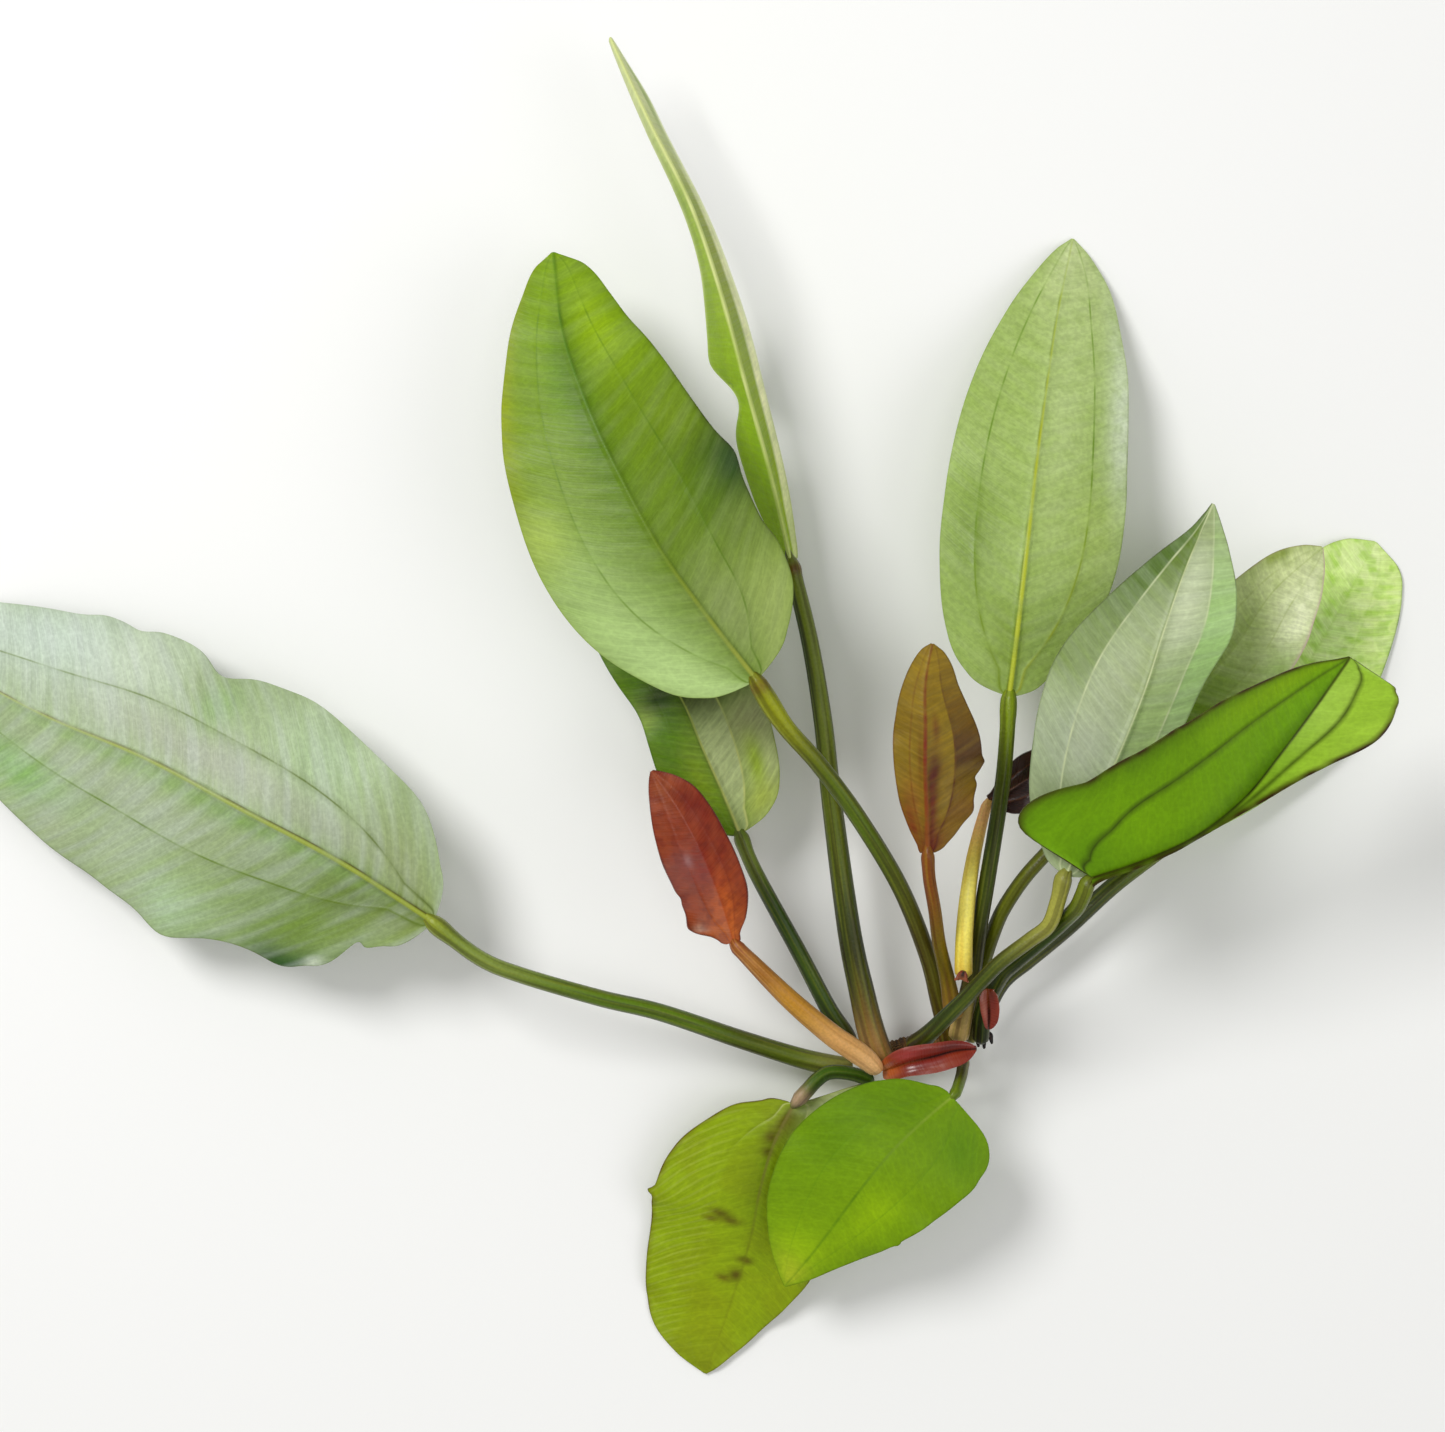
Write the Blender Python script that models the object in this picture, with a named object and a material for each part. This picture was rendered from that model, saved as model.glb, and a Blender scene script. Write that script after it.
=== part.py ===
"""Amazon sword plant, uprooted and laid on a flat surface.

Frame: metres, +Z up, the surface is z = 0, the origin is the middle of the plant's outline.
The longest way of the plant is along X. Every leaf is a blade and a stalk of its own, all of
them rising from one short thick stem, with three young folded leaves and a few root stubs.
"""
import math

import bpy
from mathutils import Vector

# ---------------------------------------------------------------- driving dimensions, mm
MM = 0.001
OUTLINE_MIDDLE = (-1.37, -0.01, 0.0)
BLADE_THICKNESS = 0.7
EDGE_THICKNESS = 0.45
RIB_HEIGHT_BASE = 0.9
RIB_HEIGHT_TIP = 0.15
BLADE_BASE_HALF_WIDTH = 1.6
BLADE_TIP_HALF_WIDTH = 0.35
STEM_RADIUS = 4.0
SWEEP_LENGTH = 0.07
SWEEP_POWER = 1.2
ROUTE_STEPS = 16

# Where along the midrib the half widths of a blade are given, 0 at its base and 1 at its tip
STATIONS = (0.0, 0.04, 0.12, 0.25, 0.4, 0.55, 0.7, 0.82, 0.91, 0.97, 1.0)
# Where the solid has its cross rows, and the places across a row from right edge to left edge
ROWS = (0.0, 0.025, 0.07, 0.14, 0.24, 0.35, 0.47, 0.59, 0.7, 0.8, 0.89, 0.955, 1.0)
ACROSS = (-1.0, -0.7, -0.35, 0.0, 0.35, 0.7, 1.0)

STALK_SIDES = 7


def clear_scene():
    """Start from an empty scene."""
    for old in list(bpy.data.objects):
        bpy.data.objects.remove(old, do_unlink=True)


def finish(name, colour, roughness):
    """A plain coloured finish named after its part."""
    material = bpy.data.materials.new(name)
    material.use_nodes = True
    shader = material.node_tree.nodes["Principled BSDF"]
    shader.inputs["Base Color"].default_value = (*colour, 1.0)
    shader.inputs["Roughness"].default_value = roughness
    return material


def make_object(name, points, faces, colour, roughness=0.5):
    """One closed solid from points in mm and faces that look outward."""
    mesh = bpy.data.meshes.new(name)
    middle = Vector(OUTLINE_MIDDLE)
    mesh.from_pydata([tuple((p - middle) * MM) for p in points], [], faces)
    mesh.update()
    item = bpy.data.objects.new(name, mesh)
    bpy.context.scene.collection.objects.link(item)
    mesh.materials.append(finish(name, colour, roughness))
    return item


# ---------------------------------------------------------------- smooth lines
def smooth_between(a, b, c, d, f):
    """A smooth value a share f of the way from b to c, with a and d as the neighbours."""
    return 0.5 * (
        2.0 * b
        + (c - a) * f
        + (2.0 * a - 5.0 * b + 4.0 * c - d) * f * f
        + (3.0 * b - a - 3.0 * c + d) * f * f * f
    )


class Route:
    """A smooth line through a few points, walked by share of its length."""

    def __init__(self, points):
        stops = [Vector(p) for p in points]
        stops = [stops[0] * 2.0 - stops[1]] + stops + [stops[-1] * 2.0 - stops[-2]]
        self.line = []
        for i in range(1, len(stops) - 2):
            for k in range(ROUTE_STEPS):
                near = (stops[i - 1], stops[i], stops[i + 1], stops[i + 2])
                self.line.append(smooth_between(*near, k / ROUTE_STEPS))
        self.line.append(stops[-2])
        self.reach = [0.0]
        for a, b in zip(self.line, self.line[1:]):
            self.reach.append(self.reach[-1] + (b - a).length)
        self.length = self.reach[-1]

    def at(self, t):
        """The point a share t of the way along."""
        want = min(max(t, 0.0), 1.0) * self.length
        for i in range(1, len(self.reach)):
            if want <= self.reach[i] or i == len(self.reach) - 1:
                span = self.reach[i] - self.reach[i - 1]
                return self.line[i - 1].lerp(self.line[i], (want - self.reach[i - 1]) / span)

    def along(self, t):
        """The direction of travel at t."""
        return (self.at(t + 0.02) - self.at(t - 0.02)).normalized()


def profile(values, t):
    """The half width at t, smooth through the values at the stations."""
    last = len(STATIONS) - 1
    for i in range(last):
        if t <= STATIONS[i + 1] or i == last - 1:
            break
    span = STATIONS[i + 1] - STATIONS[i]

    def slope(k):
        low, high = max(k - 1, 0), min(k + 1, last)
        return (values[high] - values[low]) / (STATIONS[high] - STATIONS[low])

    f = (t - STATIONS[i]) / span
    a, b = values[i], values[i + 1]
    sa, sb = slope(i) * span, slope(i + 1) * span
    if i == 0:
        sa = 2.2 * (b - a)
    return max(
        0.3,
        a * (2 * f**3 - 3 * f**2 + 1)
        + sa * (f**3 - 2 * f**2 + f)
        + b * (3 * f**2 - 2 * f**3)
        + sb * (f**3 - f**2),
    )


def three(values, t):
    """A value that goes smoothly through three: at the base, in the middle and at the tip."""
    a, b, c = values
    return a * (2 * t - 1) * (t - 1) + b * 4 * t * (1 - t) + c * t * (2 * t - 1)


# ---------------------------------------------------------------- leaves
class Blade:
    """The flat part of a leaf.

    route: points of the midrib from base to tip. left, right: half widths as seen from above,
    at the inner stations. tilt_left, tilt_right: how far each half rises (or droops, below 0)
    from the midrib, in degrees, at base, middle and tip. sweep: how far the two halves reach
    back past the base. wave: height, count and phase of the ripples of the edge. rib: 1 if
    the raised midrib is on top, -1 if it is underneath.
    """

    def __init__(self, name, route, left, right, tilt_left=(0, 0, 0), tilt_right=(0, 0, 0),
                 sweep=(0, 0), wave=(0.8, 2.5, 0.0), rib=1, colour=(0.2, 0.35, 0.05)):
        self.name = name
        self.route = Route(route)
        self.left = (BLADE_BASE_HALF_WIDTH, *left, BLADE_TIP_HALF_WIDTH)
        self.right = (BLADE_BASE_HALF_WIDTH, *right, BLADE_TIP_HALF_WIDTH)
        self.tilt = {1: tilt_left, -1: tilt_right}
        self.sweep = {1: sweep[0], -1: sweep[1]}
        self.wave = wave
        self.rib = rib
        self.colour = colour

    def point(self, t, s):
        """The middle of the blade's thickness at t along it and s across it, left edge 1."""
        hand = 1 if s >= 0 else -1
        share = abs(s)
        forward = self.route.along(t)
        sideways = Vector((0, 0, 1)).cross(forward).normalized()
        upward = forward.cross(sideways)
        values = self.left if hand == 1 else self.right
        width = profile(values, t)
        out = width * share
        tilt = math.tan(math.radians(three(self.tilt[hand], t)))
        height, count, phase = self.wave
        ripple = height * share**2 * math.sin(2 * math.pi * (count * t + phase) + hand)
        ripple *= math.sin(math.pi * min(1.0, t * 1.02)) ** 0.5 if 0 < t < 0.98 else 0.0
        lift = width * tilt * share**1.25 + ripple
        back = self.sweep[hand] * (out / max(values)) ** SWEEP_POWER
        back *= math.exp(-((t / SWEEP_LENGTH) ** 2))
        return self.route.at(t) + sideways * (hand * out) + upward * lift - forward * back

    def facing(self, t, s):
        """The direction the blade faces at t, s."""
        e = 0.02
        low, high = max(0.0, t - e), min(1.0, t + e)
        along = self.point(high, s) - self.point(low, s)
        across = self.point(t, min(1.0, s + 0.1)) - self.point(t, max(-1.0, s - 0.1))
        return along.cross(across).normalized()

    def build(self):
        """The closed solid: a top sheet, a bottom sheet and the edge between them."""
        top, bottom = [], []
        for t in ROWS:
            rib = RIB_HEIGHT_BASE + (RIB_HEIGHT_TIP - RIB_HEIGHT_BASE) * t
            for s in ACROSS:
                middle = self.point(t, s)
                face = self.facing(t, s)
                half = 0.5 * (EDGE_THICKNESS if abs(s) == 1 else BLADE_THICKNESS)
                over = half + (rib if s == 0 and self.rib == 1 else 0.0)
                under = half + (rib if s == 0 and self.rib == -1 else 0.0)
                low = middle - face * under
                high = middle + face * over
                if low.z < 0.0:
                    low.z = 0.0
                    high.z = max(high.z, (over + under) * 0.9)
                top.append(high)
                bottom.append(low)
        n, rows = len(ACROSS), len(ROWS)
        shift = len(top)
        faces = []
        for r in range(rows - 1):
            for c in range(n - 1):
                a, b = r * n + c, r * n + c + 1
                d, e = a + n, b + n
                faces.append((a, d, e, b))
                faces.append((shift + a, shift + b, shift + e, shift + d))
        for r in range(rows - 1):
            a, d = r * n, r * n + n
            faces.append((a, shift + a, shift + d, d))
            b, e = a + n - 1, d + n - 1
            faces.append((b, e, shift + e, shift + b))
        for c in range(n - 1):
            faces.append((c, c + 1, shift + c + 1, shift + c))
            far = (rows - 1) * n + c
            faces.append((far, shift + far, shift + far + 1, far + 1))
        return make_object(self.name, top + bottom, faces, self.colour, 0.5)


def tube(name, points, radii, colour, sides=STALK_SIDES, rings=10, flat=1.0, roughness=0.45):
    """A round or flattened tube along a smooth line, closed at both ends.

    radii: radius at the start, the middle and the end. flat: height as a share of width.
    """
    route = Route(points)
    ring_points = []
    for r in range(rings):
        t = r / (rings - 1)
        forward = route.along(t)
        sideways = Vector((0, 0, 1)).cross(forward).normalized()
        upward = forward.cross(sideways)
        radius = three(radii, t)
        for k in range(sides):
            turn = 2 * math.pi * (k + 0.5) / sides
            away = sideways * (math.cos(turn) * radius)
            away += upward * (math.sin(turn) * radius * flat)
            point = route.at(t) + away
            point.z = max(point.z, 0.0)
            ring_points.append(point)
    faces = [tuple(range(sides))[::-1]]
    for r in range(rings - 1):
        for k in range(sides):
            a, b = r * sides + k, r * sides + (k + 1) % sides
            faces.append((a, b, b + sides, a + sides))
    faces.append(tuple((rings - 1) * sides + k for k in range(sides)))
    return make_object(name, ring_points, faces, colour, roughness)


GREY_GREEN = (0.34, 0.44, 0.27)
FRESH_GREEN = (0.2, 0.34, 0.02)
DARK_GREEN = (0.07, 0.14, 0.02)
PALE_GREEN = (0.33, 0.47, 0.14)
LIME = (0.4, 0.67, 0.04)
RUST = (0.2, 0.05, 0.02)
OLIVE = (0.26, 0.15, 0.02)
TAN = (0.55, 0.3, 0.09)
BUD_RED = (0.26, 0.03, 0.015)
YELLOW = (0.68, 0.52, 0.07)


def blades():
    """Every leaf blade, with its midrib route in mm and its half widths in mm."""
    return [
        Blade("blade_left",
              [(-43.3, -45.3, 26), (-63.5, -32.5, 25), (-85.5, -21, 23), (-108.5, -9.5, 16.5),
               (-132.5, 0, 9.5), (-156, 11.5, 2.8), (-179.5, 23, 0.3)],
              (10.2, 22.5, 28, 31.5, 28.8, 20.5, 13.5, 7, 2.6),
              (11.5, 20.5, 26.5, 27.4, 27.2, 23.4, 17.4, 10.6, 4.2),
              (-6, -10, -2), (-4, -6, -2), (0, 2), (1.6, 3.2, 0.1), 1, GREY_GREEN),
        Blade("blade_upper_left",
              [(28.2, 7.9, 45), (18, 21, 46), (8, 35, 46.5), (-0.5, 50.5, 44.5),
               (-8, 66.5, 41), (-14, 84, 34), (-16.5, 102.5, 26)],
              (12.2, 18.8, 24.1, 25.4, 23, 18.4, 12.5, 7.7, 4.4),
              (12.3, 20, 22, 23.3, 21.9, 19, 15.3, 11.2, 6.7),
              (-6, -12, -8), (-6, -12, -8), (0, 0), (1.0, 3.0, 0.3), 1, PALE_GREEN),
        Blade("blade_tall",
              [(36.2, 34.4, 21), (31.5, 54, 25), (26, 73.5, 28.5), (20.5, 93.5, 30),
               (14, 112.5, 30), (5, 131, 27.5), (-4, 151, 22)],
              (2.6, 4.5, 5.2, 5.3, 2.4, 1.6, 1.2, 0.9, 0.6),
              (2.4, 3.2, 3.8, 4.3, 3.7, 2.8, 2.8, 2.7, 1.2),
              (-62, -73, -76), (-60, -72, -76), (0, 0), (0.5, 2.0, 0.0), 1, FRESH_GREEN),
        Blade("blade_upper_right",
              [(84, 4.6, 31), (86, 21.5, 32), (88, 38, 31), (90.5, 55.5, 25.5),
               (93.5, 73, 18), (97, 91, 9), (101.5, 109.5, 0.2)],
              (10.4, 15.6, 18.6, 19, 18.1, 15.1, 10.9, 6.6, 3.1),
              (8.2, 15.6, 20.1, 21.2, 20.3, 18.2, 14.8, 10.7, 4.8),
              (-8, -10, -4), (-8, -10, -4), (0, 0), (0.9, 2.5, 0.6), 1, PALE_GREEN),
        Blade("blade_tucked",
              [(24.9, -26.2, 19), (21, -17, 20), (16.5, -7, 21.5), (12.5, 2.5, 21),
               (7, 11.5, 19), (0.5, 20, 17), (-6.5, 28.5, 15)],
              (4.5, 8.8, 11.4, 11, 10.2, 10.4, 9.4, 7.6, 4.4),
              (8.9, 13, 15.6, 16.6, 15.2, 12, 9, 6.3, 3),
              (-8, -8, -8), (-10, -10, -8), (0, 0), (0.8, 2.5, 0.2), 1, DARK_GREEN),
        Blade("blade_rust",
              [(23.4, -49.6, 31), (21, -41.5, 33), (18, -33.5, 35), (14.5, -26, 36),
               (10.5, -19, 36), (5.5, -12, 36)],
              (3.4, 7.4, 8.2, 8.6, 8.6, 7.4, 5.6, 3.5, 1.6),
              (2.0, 4.2, 6.3, 6.8, 6.7, 6.4, 5.6, 3.7, 1.7),
              (12, 14, 8), (12, 14, 8), (0, 0), (0.5, 2.0, 0.0), -1, RUST),
        Blade("blade_olive",
              [(65.4, -29.6, 41), (65, -21, 43.5), (64.5, -11.5, 46), (64.5, -2.5, 47),
               (64.5, 6.5, 47), (66, 15.5, 47)],
              (2.2, 3.8, 5.6, 6.5, 6.8, 6, 4.6, 3.3, 1.9),
              (4.4, 7.6, 10.6, 12.2, 12, 9.4, 7.2, 5.3, 2.9),
              (-8, -10, -6), (-12, -14, -8), (0, 0), (0.5, 2.0, 0.4), 1, OLIVE),
        Blade("blade_pointed",
              [(95.2, -34.2, 42), (100.5, -21, 43), (106.5, -8, 43.5), (112, 5.5, 43),
               (116.5, 19, 42), (121.5, 32.5, 40.5), (127.5, 46, 39)],
              (6.9, 12.3, 17.4, 20, 19.4, 13.3, 7.4, 2.8, 1),
              (6.9, 9.8, 10.6, 10.6, 11.9, 14.5, 12.2, 7.4, 2.9),
              (-6, -8, -4), (-6, -8, -4), (0, 0), (0.8, 2.5, 0.5), 1, GREY_GREEN),
        Blade("blade_far_right",
              [(93.8, -29.2, 27), (103.5, -18.5, 28), (114, -7.5, 29), (123.5, 4, 29),
               (134, 15, 27), (143, 27.5, 24.5), (154.5, 37.5, 22)],
              (4.4, 8.2, 11.7, 13.6, 13, 10.8, 7.6, 5.7, 3),
              (4, 7.2, 9.2, 10.6, 12.2, 13.5, 12.4, 9, 4.2),
              (-4, -6, -4), (-6, -8, -6), (0, 0), (0.7, 2.5, 0.2), 1, OLIVE),
        Blade("blade_lime",
              [(122.3, -28.7, 10), (131, -18.5, 10), (139.5, -7.5, 10), (148.5, 3.5, 9),
               (156.5, 15.5, 6.5), (164, 27.5, 3), (171, 40, 0.4)],
              (2.8, 6.8, 11, 14.2, 15.4, 15, 13.4, 10.4, 6),
              (2.2, 6.4, 11.4, 15.6, 17.4, 16.5, 14.2, 11.2, 7.4),
              (-2, -4, 0), (-14, -16, -4), (0, 0), (0.5, 2.5, 0.0), -1, LIME),
        Blade("blade_front_right",
              [(100.3, -34.9, 46), (111, -31, 49), (122, -25.5, 52), (132, -17.5, 53),
               (140, -7.5, 53.5), (147.5, 2.5, 53), (155, 12.5, 50)],
              (18.4, 20.6, 22.3, 22.4, 21, 16.2, 10.9, 6.1, 2.2),
              (0.9, 0.8, 0.7, 0.9, 3.2, 8, 12.8, 12.8, 10.4),
              (22, 26, 12), (50, 58, 24), (21, 0), (0.6, 2.0, 0.3), -1, FRESH_GREEN),
        Blade("blade_young",
              [(80.7, -19.2, 21), (86.5, -15.6, 21), (92.5, -11.8, 21.5), (98.5, -8, 21.5),
               (104, -4.6, 21)],
              (1.8, 2.9, 4.6, 5.4, 4.8, 4.2, 3.3, 2.3, 1.3),
              (3, 5.1, 6.4, 6.6, 6.4, 5.2, 3.8, 2.5, 1.3),
              (10, 12, 8), (10, 12, 8), (0, 0), (0.3, 2.0, 0.0), -1, RUST),
        Blade("blade_lower_left",
              [(37, -87.4, 15), (32.5, -96.5, 14), (29.5, -107, 12), (27.5, -118, 9),
               (24.5, -129, 5.5), (21, -140, 2), (17, -151, 0.4)],
              (16.2, 19, 20.4, 19.9, 16.6, 12.2, 8, 4.4, 2),
              (7.6, 13.6, 20.7, 23.6, 22.7, 21.2, 18.6, 14.6, 7.6),
              (-26, -8, 0), (-8, -10, -2), (24, 0), (0.9, 3.0, 0.2), -1, FRESH_GREEN),
        Blade("blade_lower_right",
              [(71.9, -84.6, 24), (65, -90, 26.5), (58, -96.5, 28), (52, -104, 27),
               (46.5, -112, 24), (41, -120, 20.5), (35, -128, 16)],
              (14.5, 18.4, 18.8, 17.9, 15.2, 10.8, 6.3, 3.5, 1.4),
              (5.4, 11, 15.9, 18.8, 18.9, 16.5, 12.7, 8.1, 3.2),
              (-6, -8, -4), (-6, -8, -4), (4.4, 0), (0.7, 2.5, 0.7), -1, FRESH_GREEN),
    ]


def stalks():
    """Every leaf stalk from the stem outward: name, route in mm, radii in mm and colour."""
    return [
        ("stalk_left",
         [(50.5, -79.8, 8.4), (47, -79.5, 8.6), (38.5, -77.5, 8.9), (25, -73, 11.5),
          (7, -66.5, 16), (-6.5, -63, 19), (-24, -57.5, 23), (-33, -53.5, 25), (-42.8, -45.9, 26)],
         (2.3, 1.9, 1.7), DARK_GREEN, 13),
        ("stalk_upper_left",
         [(72.5, -74.2, 10.8), (71.7, -70.5, 11.8), (70, -64.5, 13.8), (67, -53.5, 17.5),
          (60.5, -38, 25), (51, -22.5, 33), (42, -10.5, 38.5), (34.5, -2, 42), (28.7, 7, 45)],
         (2, 1.9, 1.9), DARK_GREEN, 12),
        ("stalk_tall",
         [(57.1, -77.9, 14.2), (55.6, -74.1, 14.6), (54.2, -69.5, 15), (52.6, -62.7, 16),
          (49.5, -48, 18), (45.5, -19, 20), (43.5, -1, 21), (40.5, 17, 21), (36.4, 33.8, 21)],
         (3.1, 2.3, 1.8), DARK_GREEN, 12),
        ("stalk_upper_right",
         [(74, -73.1, 15.2), (75, -67.5, 16.6), (76.7, -59.3, 19), (78, -47.5, 23.5), (80, -34, 27),
          (82.5, -16.5, 30), (83.5, -5.5, 31), (84, 3.9, 31)],
         (2.2, 1.8, 1.7), DARK_GREEN, 11),
        ("stalk_tucked",
         [(50, -74.6, 10.2), (48.5, -71.5, 11), (45, -66, 12.6), (38.5, -53.5, 15.5),
          (28.5, -35, 18.6), (25.2, -27, 19)],
         (2.0, 1.8, 1.6), DARK_GREEN, 9),
        ("stalk_rust",
         [(55, -78.6, 20.9), (52.9, -76.2, 22), (48.9, -73.2, 24), (44.8, -70.2, 25.8),
          (36, -62.5, 29), (27, -53.5, 31), (24.1, -50.5, 31)],
         (2.4, 2.3, 1.5), TAN, 9),
        ("stalk_olive",
         [(73, -67.6, 20.8), (72.2, -64, 21), (71, -58, 22.2), (69, -50.5, 27), (67.5, -42.5, 34),
          (66, -35.5, 39), (65.5, -30.3, 41)],
         (1.9, 1.5, 1.4), OLIVE, 9),
        ("stalk_pointed",
         [(63.2, -74.6, 17), (66.4, -71.6, 20.6), (70.2, -67.1, 26), (74.8, -62, 29.5),
          (77.3, -58.9, 31.6), (81.9, -53.8, 34.6), (87.8, -49, 37), (91.9, -45.5, 38.6),
          (93.7, -40.1, 40.5), (94.8, -35, 42)],
         (2.2, 1.7, 1.8), DARK_GREEN, 12),
        ("stalk_far_right",
         [(77.2, -73.8, 11), (77.8, -68.7, 11.8), (78.6, -61.8, 13), (79.7, -55.3, 16),
          (81.6, -48, 20.5), (83.8, -42.5, 23), (88, -35.8, 25.6), (93.3, -29.7, 27)],
         (1.8, 1.7, 1.6), DARK_GREEN, 9),
        ("stalk_lime",
         [(80.2, -70.9, 7.4), (81.3, -66.4, 8), (84.7, -60.1, 9), (90.5, -55.2, 9.8),
          (99.3, -47.9, 10), (110, -38.2, 10), (121.7, -29.4, 10)],
         (2, 2, 1.8), DARK_GREEN, 10),
        ("stalk_front_right",
         [(79, -73.5, 15.6), (79.7, -65.8, 18.6), (82.7, -57.9, 25), (85.8, -54.2, 28.8),
          (89.2, -50.9, 31.6), (92.4, -47.8, 34.2), (95.6, -44.5, 36.8), (97.7, -41.5, 41.4),
          (98.9, -38.2, 44.2), (99.6, -36, 45)],
         (1.9, 1.8, 1.8), DARK_GREEN, 12),
        ("stalk_young",
         [(74.4, -57.9, 26.8), (74.4, -53.5, 27), (74.6, -47.3, 27.2), (75.4, -39.2, 26.6),
          (77.1, -30, 24), (79.9, -20.1, 21.1)],
         (2, 1.75, 1.2), YELLOW, 9),
        ("stalk_lower_left",
         [(55, -82.6, 12), (51.5, -81, 13), (47.5, -80.2, 13.8), (44.5, -80.4, 14.4),
          (42, -82, 15.2), (39.8, -84.3, 15.8), (38.2, -86, 16)],
         (1.6, 1.6, 1.7), DARK_GREEN, 9),
        ("stalk_lower_right",
         [(75.8, -78, 9.6), (75.2, -79.2, 13.4), (74.4, -80.9, 18), (72.7, -83.9, 23)],
         (1.4, 1.3, 1.3), FRESH_GREEN, 6),
    ]


def young_leaves():
    """The three short folded leaves at the crown: name, route, half widths left and right, tilt."""
    return [
        ("young_leaf_front",
         [(57, -79.4, 18.2), (59.2, -78.6, 19.9), (62.5, -77.2, 21.6), (68.3, -75.7, 22),
          (72.8, -74.5, 22), (77.6, -74.1, 21.6)],
         (1.8, 2.9, 3.6, 3.5, 3.1, 2.6, 2.1, 1.5, 0.8),
         (2, 2.4, 2.7, 3.2, 3.5, 3.5, 3.2, 2.3, 1.1), 25),
        ("young_leaf_side",
         [(79.4, -60.3, 27.5), (79.7, -62.8, 26.8), (80, -65.8, 25.4), (80.1, -69.5, 23.6)],
         (1.4, 2, 2.2, 2.3, 2.2, 2, 1.6, 1.1, 0.6),
         (1.3, 1.8, 2, 1.9, 1.7, 1.4, 1.1, 0.8, 0.5), 25),
        ("young_leaf_tip",
         [(73.5, -58, 30.9), (73.7, -57, 31.2), (74, -56, 31.4)],
         (1.4, 1.3, 1.2, 1.1, 1, 0.9, 0.7, 0.5, 0.4),
         (1.4, 1.3, 1.2, 1.1, 1, 0.9, 0.7, 0.5, 0.4), 20),
    ]


def build_plant():
    """Build every piece of the plant."""
    clear_scene()
    for blade in blades():
        blade.build()
    for name, points, radii, colour, rings in stalks():
        tube(name, points, radii, colour, rings=rings)
    for name, points, left, right, tilt in young_leaves():
        tilts = (tilt, tilt, tilt * 0.6)
        young = Blade(name, points, left, right, tilts, tilts, (0, 0), (0, 1, 0), -1, BUD_RED)
        young.build()
    tube("stem",
         [(57.5, -78.4, 4.5), (60, -77.9, 4.4), (65, -77, 4.25), (70, -76.2, 4.25),
          (73.5, -75.3, 4.4), (76, -74.8, 4.5)],
         (3.0, STEM_RADIUS, 3.0), OLIVE, sides=12, rings=9, flat=1.0, roughness=0.8)
    stubs = (
        ("root_stub_upper", [(81.4, -71.9, 7.4), (82, -73.2, 6.8), (82.4, -74.6, 5.6)]),
        ("root_stub_middle", [(80.2, -72.2, 6.8), (80.5, -73.8, 6.2), (80.7, -75.8, 5.2)]),
        ("root_stub_lower", [(78.8, -72, 6.8), (79, -73.6, 6.2), (79.4, -75.4, 5.2)]),
    )
    for name, points in stubs:
        tube(name, points, (0.6, 0.5, 0.3), RUST, sides=6, rings=5, roughness=0.9)


build_plant()
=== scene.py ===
"""Amazon sword plant, uprooted and laid on a pale floor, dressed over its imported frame."""
import logging
import math
from dataclasses import dataclass
from enum import Enum, IntEnum
from typing import TypeVar

import bpy
import numpy as np
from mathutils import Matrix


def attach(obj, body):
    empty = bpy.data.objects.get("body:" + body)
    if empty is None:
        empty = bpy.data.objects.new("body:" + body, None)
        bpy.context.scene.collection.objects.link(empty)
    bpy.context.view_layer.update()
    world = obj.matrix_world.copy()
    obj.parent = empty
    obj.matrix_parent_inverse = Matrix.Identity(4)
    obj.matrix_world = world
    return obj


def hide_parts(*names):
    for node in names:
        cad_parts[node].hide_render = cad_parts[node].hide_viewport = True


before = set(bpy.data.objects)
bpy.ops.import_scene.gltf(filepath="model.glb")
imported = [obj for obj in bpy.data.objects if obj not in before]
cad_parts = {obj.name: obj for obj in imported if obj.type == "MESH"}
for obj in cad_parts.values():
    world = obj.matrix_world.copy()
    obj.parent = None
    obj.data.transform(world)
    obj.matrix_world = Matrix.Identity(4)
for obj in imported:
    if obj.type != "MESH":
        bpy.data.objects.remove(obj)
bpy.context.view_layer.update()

log = logging.getLogger("sword_plant")
logging.basicConfig(level=logging.INFO, format="%(message)s")

Point = tuple[float, float, float]
Numbers = tuple[float, ...]
Colour = tuple[float, float, float, float]
Anything = TypeVar("Anything")

MM = 0.001
# The middle of the plant's outline in the numbers below, so that it ends up at the origin
OUTLINE_MIDDLE = np.array([-1.37, -0.01, 0.0])
# How many points a smooth line has between two that are named, and over which share of its
# length to either side its direction is taken
POINTS_PER_SPAN = 16
AIM = 0.02

# Where along the midrib the half widths of a blade are given, 0 at its base and 1 at its tip
STATIONS = np.array([0.0, 0.04, 0.12, 0.25, 0.4, 0.55, 0.7, 0.82, 0.91, 0.97, 1.0])
# A blade's half width in mm at its base, at its tip and where it is least
BASE_HALF_WIDTH, TIP_HALF_WIDTH, LEAST_HALF_WIDTH = 1.6, 0.35, 0.3
# How much faster than on average the half width grows as it leaves the base
BASE_BULGE = 2.2
# How far along the midrib a swept base reaches, and how late it sets in on the way out
SWEEP_LENGTH, SWEEP_POWER = 0.07, 1.2
# How late a blade's tilt sets in on the way out from the midrib
TILT_POWER = 1.25
# The midrib's half width in mm, and the share of the blade's own that it never passes
RIB_HALF_WIDTH, RIB_SHARE = 1.25, 0.25
# The side vein: how soon it leaves the midrib, how much it draws in at the tip, and the share
# of the half width that it keeps to the midrib's foot and to the edge
VEIN_START, VEIN_DRAWN_IN, VEIN_INSET = 0.09, 0.3, 0.15
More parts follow.
